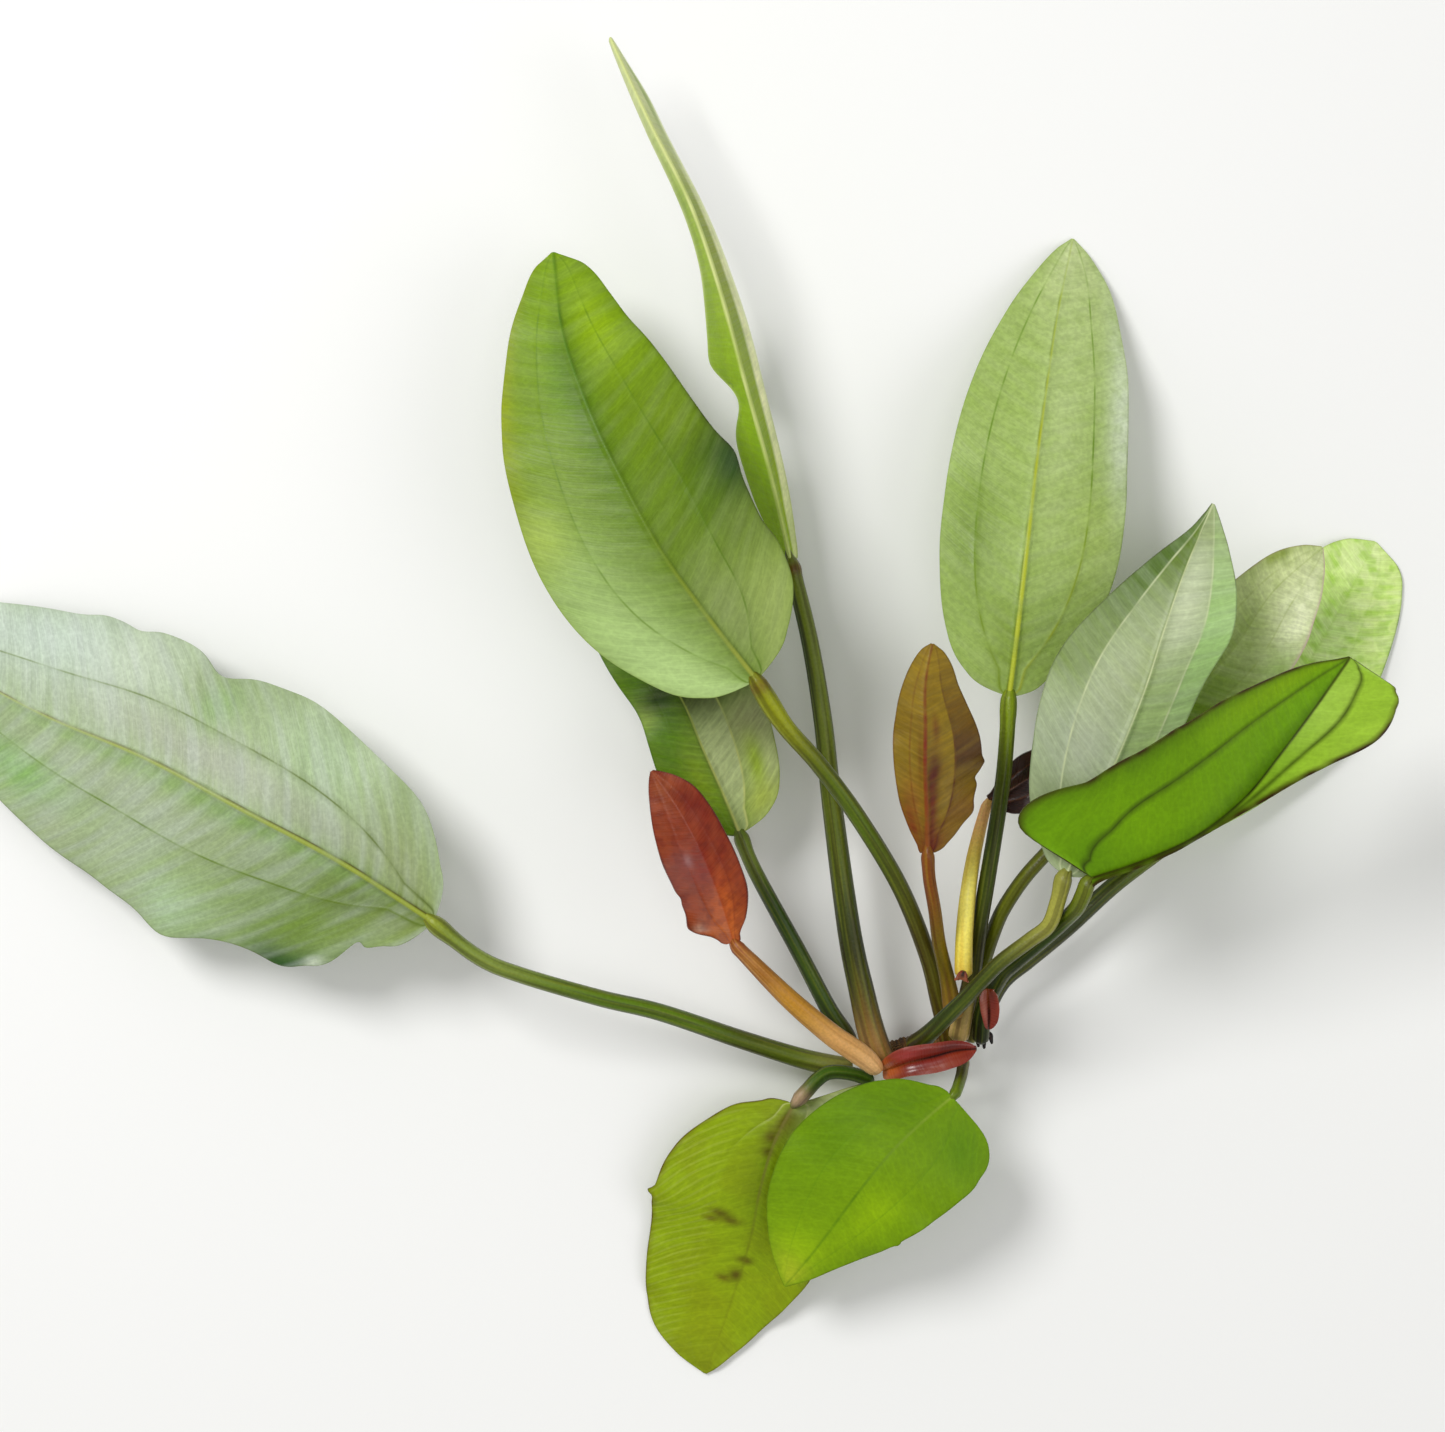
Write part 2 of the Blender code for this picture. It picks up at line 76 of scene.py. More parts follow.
# Its foot's half width and the rim's width in mm, with the shares that they never pass
VEIN_FOOT, VEIN_FOOT_SHARE = 0.3, 0.08
RIM_WIDTH, RIM_SHARE = 0.42, 0.12
# Its ridge's reach in mm, how much lower that is at the tip, and by where it is full
RIDGE_REACH, RIDGE_FALL, RIDGE_START = 0.34, 0.7, 0.03
# How many strips of mesh lie between the midrib's middle, its foot, the side vein's near foot,
# crest and far foot, the inner line of the rim and the edge
STRIPS = (5, 9, 1, 1, 11, 1)
# How much the rows of mesh crowd at the ends of a blade, and the fewest that it has
CROWDING, FEWEST_ROWS = 0.036, 40
# How much the cross veins bend to the tip on the way out, per mm
CROSS_BEND = 0.012
# The least reach in mm of a line that is drawn on a blade
LEAST_REACH = 0.05
# How far in mm a panel's border is soft
PANEL_BORDER = 0.3
# The stalk's run along the blade's midrib: where its points lie, how it tapers, and its radius
# in mm at the end
RUN_POINTS, RUN_TAPER, RUN_TIP = np.array([0.2, 0.6, 1.0]), 1.4, 0.3
# The share of its radius that a stalk's rounded foot starts with
FOOT_SHARE = 0.45
# How thin the wings of a sheath are, and how much flatter the stalk is between them
WING_POWER, SHEATH_FLATTENING = 8, 0.15
# The fewest rings of mesh that a stalk has
FEWEST_RINGS = 24
# Points of a tube's seam that are nearer than this, in metres, are one
SEAM_GAP = 0.000005
# Edges sharper than this many degrees stay sharp
SHARP_ANGLE = 50

# The share of the soft sky's light that the plant's wax throws back, whatever its colour
SHEEN = 0.03
# The darkest that tissue is in red, green and blue
DARKEST = (0.004, 0.004, 0.003)
# The third size of a pattern that lies in a UV map, which has only two
FLAT = 1.0


class Side(IntEnum):
    """A side of a blade, seen from above and looking to its tip; it is also which way is out."""

    LEFT = 1
    RIGHT = -1


class Shown(Enum):
    """Which side of a blade looks up, and so whether its veins stand out or sink in."""

    UNDERSIDE = 1.0
    UPPER = -1.0


LEFT, RIGHT = Side.LEFT, Side.RIGHT
# How much of the midrib's height shows, and how far in mm the stalk's run lies below the blade
RIB_SHOWN = {Shown.UNDERSIDE: 1.0, Shown.UPPER: 0.4}
RUN_DEPTH = {Shown.UNDERSIDE: 0.25, Shown.UPPER: 1.3}


def pick(pair: tuple[Anything, Anything], side: Side) -> Anything:
    """The left or the right one of a pair, which is given left first."""
    return pair[0] if side is LEFT else pair[1]


def rows(kind: type[Anything], *values: tuple) -> tuple[Anything, ...]:
    """Several of a kind, each from its own row of values."""
    return tuple(kind(*row) for row in values)


def linear(hex_colour: str) -> Colour:
    """Turn an sRGB hex colour to linear light.

    Args:
        hex_colour: A colour such as "#7FA32C".

    Returns:
        Red, green and blue in linear light, and an alpha of 1.
    """
    parts = [int(hex_colour[i:i + 2], 16) / 255.0 for i in (1, 3, 5)]
    out = [c / 12.92 if c <= 0.04045 else ((c + 0.055) / 1.055) ** 2.4 for c in parts]
    return (out[0], out[1], out[2], 1.0)


def tissue(hex_colour: str) -> Colour:
    """Turn a colour as it looks under the soft sky to the plant's own, without the sheen.

    Args:
        hex_colour: A colour such as "#7FA32C", as the eye sees it.

    Returns:
        Red, green and blue in linear light, and an alpha of 1.
    """
    seen = linear(hex_colour)
    red, green, blue = (max(c - SHEEN, least) for c, least in zip(seen, DARKEST))
    return (red, green, blue, 1.0)


def ramp(colours: tuple[str, ...], t: np.ndarray) -> np.ndarray:
    """Linear colours that change evenly through the named ones as t goes from 0 to 1.

    Args:
        colours: sRGB hex colours, evenly spaced.
        t: Shares from 0 to 1.

    Returns:
        One linear colour for each share.
    """
    stops = np.array([tissue(c)[:3] for c in colours])
    where = np.linspace(0, 1, len(stops))
    return np.stack([np.interp(t, where, stops[:, k]) for k in range(3)], -1)


def plain(colour: str, shape: tuple[int, int]) -> np.ndarray:
    """A grid of one linear colour.

    Args:
        colour: An sRGB hex colour.
        shape: The grid's rows and columns.

    Returns:
        Rows by columns by 3.
    """
    return np.tile(np.array(tissue(colour)[:3]), (*shape, 1))


def mix_in(tint: np.ndarray, colour: str, share: np.ndarray) -> None:
    """Mix a colour into a grid of colours.

    Args:
        tint: The grid, rows by columns by 3, which is changed.
        colour: An sRGB hex colour.
        share: How much of it there is at each point.
    """
    tint += share[..., None] * (np.array(tissue(colour)[:3]) - tint)


# ------------------------------------------------------------------ finishes
def add_node(tree: bpy.types.NodeTree, kind: str, feeds: dict | None = None,
             output: int | str = 0, **settings: object) -> bpy.types.NodeSocket:
    """Add a node with its settings, and feed its inputs.

    Args:
        tree: The material's node tree.
        kind: The node's type.
        feeds: Input name or number to a constant, or to the socket that feeds it.
        output: The output that is wanted.
        settings: The node's properties.

    Returns:
        The wanted output.
    """
    node = tree.nodes.new(kind)
    for key, value in settings.items():
        setattr(node, key, value)
    for key, value in (feeds or {}).items():
        if isinstance(value, bpy.types.NodeSocket):
            tree.links.new(value, node.inputs[key])
        else:
            node.inputs[key].default_value = value
    return node.outputs[output]


@dataclass(frozen=True)
class Skin:
    """What every finish of the plant shares: how a pattern is made and laid over another."""

    name: str

    def start(self) -> tuple[bpy.types.Material, bpy.types.NodeTree, bpy.types.Node]:
        """An empty material, its node tree and its shader."""
        material = bpy.data.materials.new(self.name)
        material.use_nodes = True
        tree = material.node_tree
        return material, tree, tree.nodes["Principled BSDF"]

    def blotches(self, tree: bpy.types.NodeTree, place: bpy.types.NodeSocket, size_mm: Point,
                 low: float, high: float, share: float = 1.0,
                 detail: float = 1.5) -> bpy.types.NodeSocket:
        """A pattern of soft blotches whose size is real.

        Args:
            tree: The material's node tree.
            place: Coordinates in metres.
            size_mm: A blotch's size along each coordinate.
            low: Noise below this is outside a blotch.
            high: Noise above this is inside one.
            share: How strong a blotch is.
            detail: How many finer layers the noise has.

        Returns:
            A mask from 0 to the share.
        """
        scale = tuple(1.0 / (s * MM) for s in size_mm)
        spot = add_node(tree, "ShaderNodeMapping", {"Vector": place, "Scale": scale})
        noise = add_node(tree, "ShaderNodeTexNoise",
                         {"Vector": spot, "Scale": 1.0, "Detail": detail, "Roughness": 0.45})
        return add_node(tree, "ShaderNodeMapRange", {0: noise, 1: low, 2: high, 3: 0.0, 4: share},
                        interpolation_type="SMOOTHSTEP")

    def cover(self, tree: bpy.types.NodeTree, under: bpy.types.NodeSocket,
              layers: tuple[tuple[str, bpy.types.NodeSocket], ...]) -> bpy.types.NodeSocket:
        """Lay colours over another, each where its mask says.

        Args:
            tree: The material's node tree.
            under: The colour beneath.
            layers: A hex colour and its mask, for each layer.

        Returns:
            The colour on top.
        """
        for colour, mask in layers:
            under = add_node(tree, "ShaderNodeMix", {0: mask, 6: under, 7: tissue(colour)}, 2,
                             data_type="RGBA")
        return under

    def shade(self, tree: bpy.types.NodeTree, colour: bpy.types.NodeSocket,
              pattern: bpy.types.NodeSocket, low: float, high: float) -> bpy.types.NodeSocket:
        """Darken or brighten a colour by a pattern.

        Args:
            tree: The material's node tree.
            colour: The colour.
            pattern: The pattern, from 0 to 1.
            low: What the colour is multiplied by where the pattern is 0.
            high: What it is multiplied by where the pattern is 1.

        Returns:
            The shaded colour.
        """
        shade = add_node(tree, "ShaderNodeMath", {0: pattern, 1: high - low, 2: low},
                         operation="MULTIPLY_ADD")
        grey = add_node(tree, "ShaderNodeCombineColor", {0: shade, 1: shade, 2: shade})
        return add_node(tree, "ShaderNodeMix", {0: 1.0, 6: colour, 7: grey}, 2,
                        data_type="RGBA", blend_type="MULTIPLY")


@dataclass(frozen=True)
class LeafSkin(Skin):
    """The skin of a leaf blade: live, waxed plant tissue.

    The wax gives a broad soft gloss. Fine cross veins run out from the midrib and lean towards
    the tip: the eye sees them as pale and dark streaks 1 to 3 mm wide and as ripples in the
    gloss. Real cross veins are 0.1 mm fine, so they are drawn as coarse as the pleats between
    them.
    """

    pale: str
    cross: str
    pale_share: float
    streak: float = 0.1
    streak_mm: float = 3.2
    streak_length_mm: float = 22.0
    silk: float = 0.07
    silk_mm: float = 0.5
    silk_length_mm: float = 8.0
    net: float = 0.06
    net_mm: float = 1.8
    cross_share: float = 0.0
    cross_pitch_mm: float = 2.6
    cross_from_mm: float = 99.0
    mottle: str = "#7F9F62"
    mottle_share: float = 0.0
    mottle_mm: float = 9.0
    speck_mm: float = 0.8
    speck_depth: float = 0.06
    roughness: float = 0.45
    gloss: float = 0.4
    coat: float = 0.0
    ripple_mm: float = 0.05

    def net_mask(self, tree: bpy.types.NodeTree,
                 uv: bpy.types.NodeSocket) -> bpy.types.NodeSocket:
        """The fine net of veins between the cross veins.

        Args:
            tree: The material's node tree.
            uv: The blade's UV map.

        Returns:
            A mask that is 1 on the net.
        """
        cell = 1.0 / (self.net_mm * MM)
        cells = add_node(tree, "ShaderNodeMapping", {"Vector": uv,
                                                     "Scale": (cell * 0.55, cell, FLAT)})
        gap = add_node(tree, "ShaderNodeTexVoronoi", {"Vector": cells, "Scale": 1.0},
                       feature="DISTANCE_TO_EDGE", voronoi_dimensions="2D")
        return add_node(tree, "ShaderNodeMapRange", {0: gap, 1: 0.02, 2: 0.22, 3: 1.0, 4: 0.0},
                        interpolation_type="SMOOTHSTEP")

    def cross_mask(self, tree: bpy.types.NodeTree,
                   uv: bpy.types.NodeSocket) -> bpy.types.NodeSocket:
        """The fine even lines across the blade, which lie to the right of cross_from_mm.

        Args:
            tree: The material's node tree.
            uv: The blade's UV map.

        Returns:
            A mask from 0 to cross_share.
        """
        # A wave's own pitch at a scale of 1 is 0.314 of a unit
        wave = add_node(tree, "ShaderNodeTexWave",
                        {"Vector": uv, "Scale": 0.314 / (self.cross_pitch_mm * MM),
                         "Distortion": 3.0, "Detail": 1.5, "Detail Scale": 0.5},
                        bands_direction="Y")
        cross = add_node(tree, "ShaderNodeMapRange",
                         {0: wave, 1: 0.6, 2: 1.0, 3: 0.0, 4: self.cross_share},
                         interpolation_type="SMOOTHSTEP")
        across = add_node(tree, "ShaderNodeSeparateXYZ", {0: uv})
        start = self.cross_from_mm
        return add_node(tree, "ShaderNodeMapRange",
                        {0: across, 1: start * MM, 2: (start - 3.0) * MM, 3: 0.0, 4: cross})

    def material(self) -> bpy.types.Material:
        """Build the finish from the blade's own colours, lines and UV map."""
        material, tree, shader = self.start()
        tint = add_node(tree, "ShaderNodeAttribute", attribute_name="tint")
        lines = add_node(tree, "ShaderNodeAttribute", attribute_name="lines")
        drawn = lines.node.outputs["Alpha"]
        uv = add_node(tree, "ShaderNodeUVMap", uv_map="leaf")
        spot = add_node(tree, "ShaderNodeTexCoord", output="Object")
        long, fine = self.streak_length_mm, self.streak_mm
        # Pale streaks; on the waxed undersides they are partly painted sheen
        wide = self.blotches(tree, uv, (long, fine, FLAT), 0.36, 0.7, self.pale_share)
        # The darker streaks are finer than the pale ones
        thin = self.blotches(tree, uv, (long * 0.6, fine * 0.6, FLAT), 0.25, 0.75)
        silk = self.blotches(tree, uv, (self.silk_length_mm, self.silk_mm, FLAT), 0.3, 0.7)
        net = self.net_mask(tree, uv)
        speck = self.blotches(tree, spot, (self.speck_mm,) * 3, 0.34, 0.66, detail=2.0)
        patch = self.blotches(tree, spot, (self.mottle_mm,) * 3, 0.45, 0.65, self.mottle_share)
        cross = self.cross_mask(tree, uv)
        colour = self.cover(tree, tint, ((self.mottle, patch), (self.pale, wide),
                                         (self.cross, cross)))
        colour = self.shade(tree, colour, thin, 1.0 + self.streak, 1.0 - self.streak)
        colour = self.shade(tree, colour, silk, 1.0 - self.silk, 1.0 + self.silk)
        colour = self.shade(tree, colour, net, 1.0 - 0.3 * self.net, 1.0 + self.net)
        colour = self.shade(tree, colour, speck, 1.0 - self.speck_depth, 1.0)
        colour = add_node(tree, "ShaderNodeMix", {0: drawn, 6: colour, 7: lines}, 2,
                          data_type="RGBA")
        tree.links.new(colour, shader.inputs["Base Color"])
        rough = add_node(tree, "ShaderNodeMath", {0: silk, 1: 0.14, 2: self.roughness - 0.07},
                         operation="MULTIPLY_ADD")
        tree.links.new(rough, shader.inputs["Roughness"])
        shader.inputs["Specular IOR Level"].default_value = self.gloss
        shader.inputs["Coat Weight"].default_value = self.coat
        shader.inputs["Coat Roughness"].default_value = 0.28
        ripples = add_node(tree, "ShaderNodeMath", {0: silk, 1: 0.5, 2: cross},
                           operation="MULTIPLY_ADD")
        height = add_node(tree, "ShaderNodeMath", {0: speck, 1: 0.35, 2: ripples},
                          operation="MULTIPLY_ADD")
        bump = add_node(tree, "ShaderNodeBump", {"Strength": 0.7, "Distance": self.ripple_mm * MM,
                                                 "Height": height})
        tree.links.new(bump, shader.inputs["Normal"])
        return material


@dataclass(frozen=True)
class StalkSkin(Skin):
    """The skin of a leaf stalk: live, smooth tissue with threads along its length.

    It has a tighter gloss than the blades, drawn out along the stalk by its shallow ridges.
    """

    thread: str
    edge: str
    thread_share: float = 0.45
    edge_share: float = 0.45
    roughness: float = 0.36
    gloss: float = 0.25
    coat: float = 0.05
    ripple_mm: float = 0.18

    def material(self) -> bpy.types.Material:
        """Build the finish from the stalk's own colours and UV map."""
        material, tree, shader = self.start()
        tint = add_node(tree, "ShaderNodeAttribute", attribute_name="tint")
        uv = add_node(tree, "ShaderNodeUVMap", uv_map="leaf")
        spot = add_node(tree, "ShaderNodeTexCoord", output="Object")
        thread = self.blotches(tree, uv, (0.8, 26.0, FLAT), 0.44, 0.7, self.thread_share)
        band = self.blotches(tree, uv, (1.3, 32.0, FLAT), 0.44, 0.62, self.edge_share)
        speck = self.blotches(tree, spot, (0.6, 0.6, 0.6), 0.3, 0.7, detail=2.0)
        colour = self.cover(tree, tint, ((self.edge, band), (self.thread, thread)))
        colour = self.shade(tree, colour, speck, 0.86, 1.0)
        tree.links.new(colour, shader.inputs["Base Color"])
        rough = add_node(tree, "ShaderNodeMath", {0: speck, 1: 0.12, 2: self.roughness - 0.06},
                         operation="MULTIPLY_ADD")
        tree.links.new(rough, shader.inputs["Roughness"])
        shader.inputs["Specular IOR Level"].default_value = self.gloss
        shader.inputs["Coat Weight"].default_value = self.coat
        shader.inputs["Coat Roughness"].default_value = 0.22
        height = add_node(tree, "ShaderNodeMath", {0: speck, 1: 0.3, 2: thread},
                          operation="MULTIPLY_ADD")
        bump = add_node(tree, "ShaderNodeBump", {"Strength": 0.6, "Distance": self.ripple_mm * MM,
                                                 "Height": height})
        tree.links.new(bump, shader.inputs["Normal"])
        return material


@dataclass(frozen=True)
class FibreSkin(Skin):
    """The skin of the thick stem and the old roots: dead, dry, ringed brown fibre.

    It is dull, with dark grooves where old leaves came off and paler torn fibres between.
    """

    base: str = "#7A5A34"
    dark: str = "#2E1E12"
    torn: str = "#B08A58"
    ring_mm: float = 0.9
    ripple_mm: float = 0.5

    def material(self) -> bpy.types.Material:
        """Build the finish in the piece's own UV map, around and along it."""
        material, tree, shader = self.start()
        uv = add_node(tree, "ShaderNodeUVMap", uv_map="leaf")
        spot = add_node(tree, "ShaderNodeTexCoord", output="Object")
        tint = add_node(tree, "ShaderNodeAttribute", attribute_name="tint")
        ring = self.blotches(tree, uv, (9.0, self.ring_mm, FLAT), 0.4, 0.6, 0.85)
        fibre = self.blotches(tree, uv, (0.5, 5.0, FLAT), 0.5, 0.7, 0.6)
        clod = self.blotches(tree, spot, (2.0, 2.0, 2.0), 0.45, 0.6, 0.7)
        colour = self.cover(tree, tint, ((self.dark, clod), (self.base, ring),
                                         (self.torn, fibre)))
        tree.links.new(colour, shader.inputs["Base Color"])
        shader.inputs["Roughness"].default_value = 0.8
        height = add_node(tree, "ShaderNodeMath", {0: fibre, 1: 0.6, 2: ring},
                          operation="MULTIPLY_ADD")
        bump = add_node(tree, "ShaderNodeBump", {"Strength": 0.9, "Distance": self.ripple_mm * MM,
                                                 "Height": height})
        tree.links.new(bump, shader.inputs["Normal"])
        return material


# ------------------------------------------------------------------ smooth lines
class Midline:
    """A smooth line through a few points, walked by share of its length."""

    def __init__(self, points: tuple[Point, ...]) -> None:
        """Lay the line, as a cubic between each two points.

        Args:
            points: The points in mm, in order.
        """
        stops = (np.array(points, float) - OUTLINE_MIDDLE) * MM
        stops = np.vstack([2 * stops[0] - stops[1], stops, 2 * stops[-1] - stops[-2]])
        f = np.linspace(0, 1, POINTS_PER_SPAN, endpoint=False)[:, None]
        runs = []
        for a, b, c, d in zip(stops, stops[1:], stops[2:], stops[3:]):
            runs.append(0.5 * (2 * b + (c - a) * f + (2 * a - 5 * b + 4 * c - d) * f**2
                               + (3 * b - a - 3 * c + d) * f**3))
        self.line = np.vstack([*runs, stops[-2]])
        steps = np.linalg.norm(np.diff(self.line, axis=0), axis=1)
        self.reach = np.concatenate([[0.0], np.cumsum(steps)])
        self.length = float(self.reach[-1])

    def at(self, t: np.ndarray) -> np.ndarray:
        """The points at shares t of the length.

        Args:
            t: Shares from 0 to 1.

        Returns:
            One point for each.
        """
        want = np.clip(t, 0, 1) * self.length
        return np.stack([np.interp(want, self.reach, self.line[:, k]) for k in range(3)], -1)

    def axes(self, t: np.ndarray) -> tuple[np.ndarray, np.ndarray, np.ndarray]:
        """The way forward, the way to the left and the way up at t.

        Args:
            t: Shares from 0 to 1.

        Returns:
            Three unit vectors for each.
        """
        forward = self.at(t + AIM) - self.at(t - AIM)
        forward /= np.linalg.norm(forward, axis=-1, keepdims=True)
        left = np.cross([0.0, 0.0, 1.0], forward)
        left /= np.linalg.norm(left, axis=-1, keepdims=True)
        return forward, left, np.cross(forward, left)


def three(values: Numbers, t: np.ndarray) -> np.ndarray:
    """A value that goes smoothly through three: at the base, in the middle and at the tip.

    Args:
        values: The three values.
        t: Shares from 0 to 1.

    Returns:
        The value at each share.
    """
    a, b, c = values
    return a * (2 * t - 1) * (t - 1) + b * 4 * t * (1 - t) + c * t * (2 * t - 1)


def profile(values: Numbers, t: np.ndarray) -> np.ndarray:
    """The half width at t, smooth through the values at the stations.

    Args:
        values: The half widths at the inner stations, in mm.
        t: Shares from 0 to 1.

    Returns:
        The half width at each share, in mm.
    """
    full = np.array([BASE_HALF_WIDTH, *values, TIP_HALF_WIDTH])
    last = len(STATIONS) - 1
    i = np.clip(np.searchsorted(STATIONS, t, side="left") - 1, 0, last - 1)
    low, high = np.maximum(np.arange(last + 1) - 1, 0), np.minimum(np.arange(last + 1) + 1, last)
    slopes = (full[high] - full[low]) / (STATIONS[high] - STATIONS[low])
    span = STATIONS[i + 1] - STATIONS[i]
    f = (t - STATIONS[i]) / span
    a, b = full[i], full[i + 1]
    first, second = slopes[i] * span, slopes[i + 1] * span
    first = np.where(i == 0, BASE_BULGE * (b - a), first)
    out = (a * (2 * f**3 - 3 * f**2 + 1) + first * (f**3 - 2 * f**2 + f)
           + b * (3 * f**2 - 2 * f**3) + second * (f**3 - f**2))
    return np.maximum(LEAST_HALF_WIDTH, out)


def bell(x: np.ndarray, middle: float | np.ndarray, width: float) -> np.ndarray:
    """A smooth bump of height 1 around a middle.

    Args:
        x: Where it is read.
        middle: Where it is highest.
        width: How far it reaches.

    Returns:
        The bump's height at each x.
    """
    return np.exp(-(((x - middle) / width) ** 2))


# ------------------------------------------------------------------ meshes
class Piece:
    """A mesh that starts as a flat grid and is laid on a surface, painted and dressed."""

    def __init__(self, name: str, places: np.ndarray) -> None:
        """Add the grid and lay it.

        Args:
            name: The piece's name.
            places: The surface's points in metres, rows by columns by 3, from left to right.
        """
        down, across = (count - 1 for count in places.shape[:2])
        bpy.ops.object.select_all(action="DESELECT")
        bpy.ops.mesh.primitive_grid_add(x_subdivisions=across, y_subdivisions=down, size=2)
        self.item = bpy.context.active_object
        self.item.name = self.item.data.name = name
        flat = self.points()
        # The grid runs from -1 to 1 both ways
        self.row = np.rint((flat[:, 1] + 1) / 2 * down).astype(int)
        self.column = np.rint((flat[:, 0] + 1) / 2 * across).astype(int)
        self.move(places[self.row, self.column])

    def points(self) -> np.ndarray:
        """Where the mesh's points are, one to a row."""
        flat = np.empty(len(self.item.data.vertices) * 3)
        self.item.data.vertices.foreach_get("co", flat)
        return flat.reshape(-1, 3)

    def move(self, places: np.ndarray) -> None:
        """Move the mesh's points to their new places, one to a row."""
        self.item.data.vertices.foreach_set("co", places.ravel())
        self.item.data.update()

    def paint(self, tint: np.ndarray, lines: np.ndarray, uv: np.ndarray) -> None:
        """Write the piece's own colours and UV map.

        Args:
            tint: The tissue's linear colour at each point.
            lines: The linear colour and the strength of what is drawn on it.
            uv: Two coordinates for each point, in metres.
        """
        mesh = self.item.data
        tint = np.concatenate([tint, np.ones((*tint.shape[:2], 1))], 2)
        for name, values in (("tint", tint), ("lines", lines)):
            layer = mesh.attributes.new(name, "FLOAT_COLOR", "POINT")
            layer.data.foreach_set("color", values[self.row, self.column].ravel())
        layer = mesh.uv_layers[0] if mesh.uv_layers else mesh.uv_layers.new()
        layer.name = "leaf"
        corners = np.empty(len(mesh.loops), dtype=int)
        mesh.loops.foreach_get("vertex_index", corners)
        layer.data.foreach_set("uv", uv[self.row, self.column][corners].ravel())

    def choose(self) -> None:
        """Select this piece alone."""
        bpy.ops.object.select_all(action="DESELECT")
        self.item.select_set(True)
        bpy.context.view_layer.objects.active = self.item

    def thicken(self, thickness_mm: float) -> None:
        """Give the sheet its thickness, half to each side, and keep it above the floor.

        Args:
            thickness_mm: How thick the sheet is.
        """
        self.choose()
        wall = self.item.modifiers.new("Wall", "SOLIDIFY")
        wall.thickness = thickness_mm * MM
        wall.offset = 0.0
        wall.use_quality_normals = True
        bpy.ops.object.modifier_apply(modifier=wall.name)
        points = self.points()
        points[:, 2] = np.maximum(points[:, 2], 0.0)
        self.move(points)

    def close(self) -> None:
        """Join the grid's two sides to a tube, and close its ends."""
        self.choose()
        bpy.ops.object.mode_set(mode="EDIT")
        bpy.ops.mesh.select_all(action="SELECT")
        bpy.ops.mesh.remove_doubles(threshold=SEAM_GAP)
        bpy.ops.mesh.select_all(action="SELECT")
        bpy.ops.mesh.fill_holes(sides=0)
        bpy.ops.mesh.select_all(action="SELECT")
        bpy.ops.mesh.normals_make_consistent(inside=False)
        bpy.ops.object.mode_set(mode="OBJECT")

    def dress(self, material: bpy.types.Material, node: str) -> None:
        """Shade the piece, give it its finish and put it in its CAD node's place.

        Args:
            material: The finish.
            node: The CAD node that it stands for.
        """
        self.choose()
        bpy.ops.object.shade_smooth_by_angle(angle=math.radians(SHARP_ANGLE))
        self.item.data.materials.clear()
        self.item.data.materials.append(material)
        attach(self.item, "root")
        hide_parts(node)
        log.info("%s: %d faces", self.item.name, len(self.item.data.polygons))


@dataclass(frozen=True)
class Tint:
    """A soft patch of another colour, at t along and s across a blade (its left is above 0).

    long and wide say how far it reaches each way, as shares, and share how strong it is. Some
    patches are painted light: sheen, highlights, shade and shadows cast by other leaves; the rest
    are the tissue's own colour.
    """

    t: float
    s: float
    long: float
    wide: float
    colour: str
    share: float = 0.8


@dataclass(frozen=True)
class Panel:
    """What lies between a side vein and the edge, or within the vein, in another colour.

    It is strongest at t along the blade and reaches long from there.
    """

    side: Side
    outer: bool
    t: float
    long: float
    colour: str
    share: float = 0.8


@dataclass(frozen=True)
class Curl:
    """A stretch of edge at t, long to each side, that lifts, dips or leaves the outline."""

    t: float
    side: Side
    long: float
    lift_mm: float = 0.0
    out_mm: float = 0.0


@dataclass(frozen=True)
class Line:
    """A vein or an edge as drawn: colours from base to tip, and strength and width in mm.

    beaded says how much it fades and comes back along its length.
    """

    colours: tuple[str, ...]
    shares: Numbers = (0.9, 0.7, 0.5)
    width_mm: Numbers = (0.5, 0.4, 0.25)
    beaded: float = 0.12

    def reach(self, t: np.ndarray) -> np.ndarray:
        """How far in mm the line spreads to each side at shares t of its length."""
        return np.maximum(three(self.width_mm, t), LEAST_REACH)[:, None]


NO_LINE = Line(("#000000",), (0.0, 0.0, 0.0))


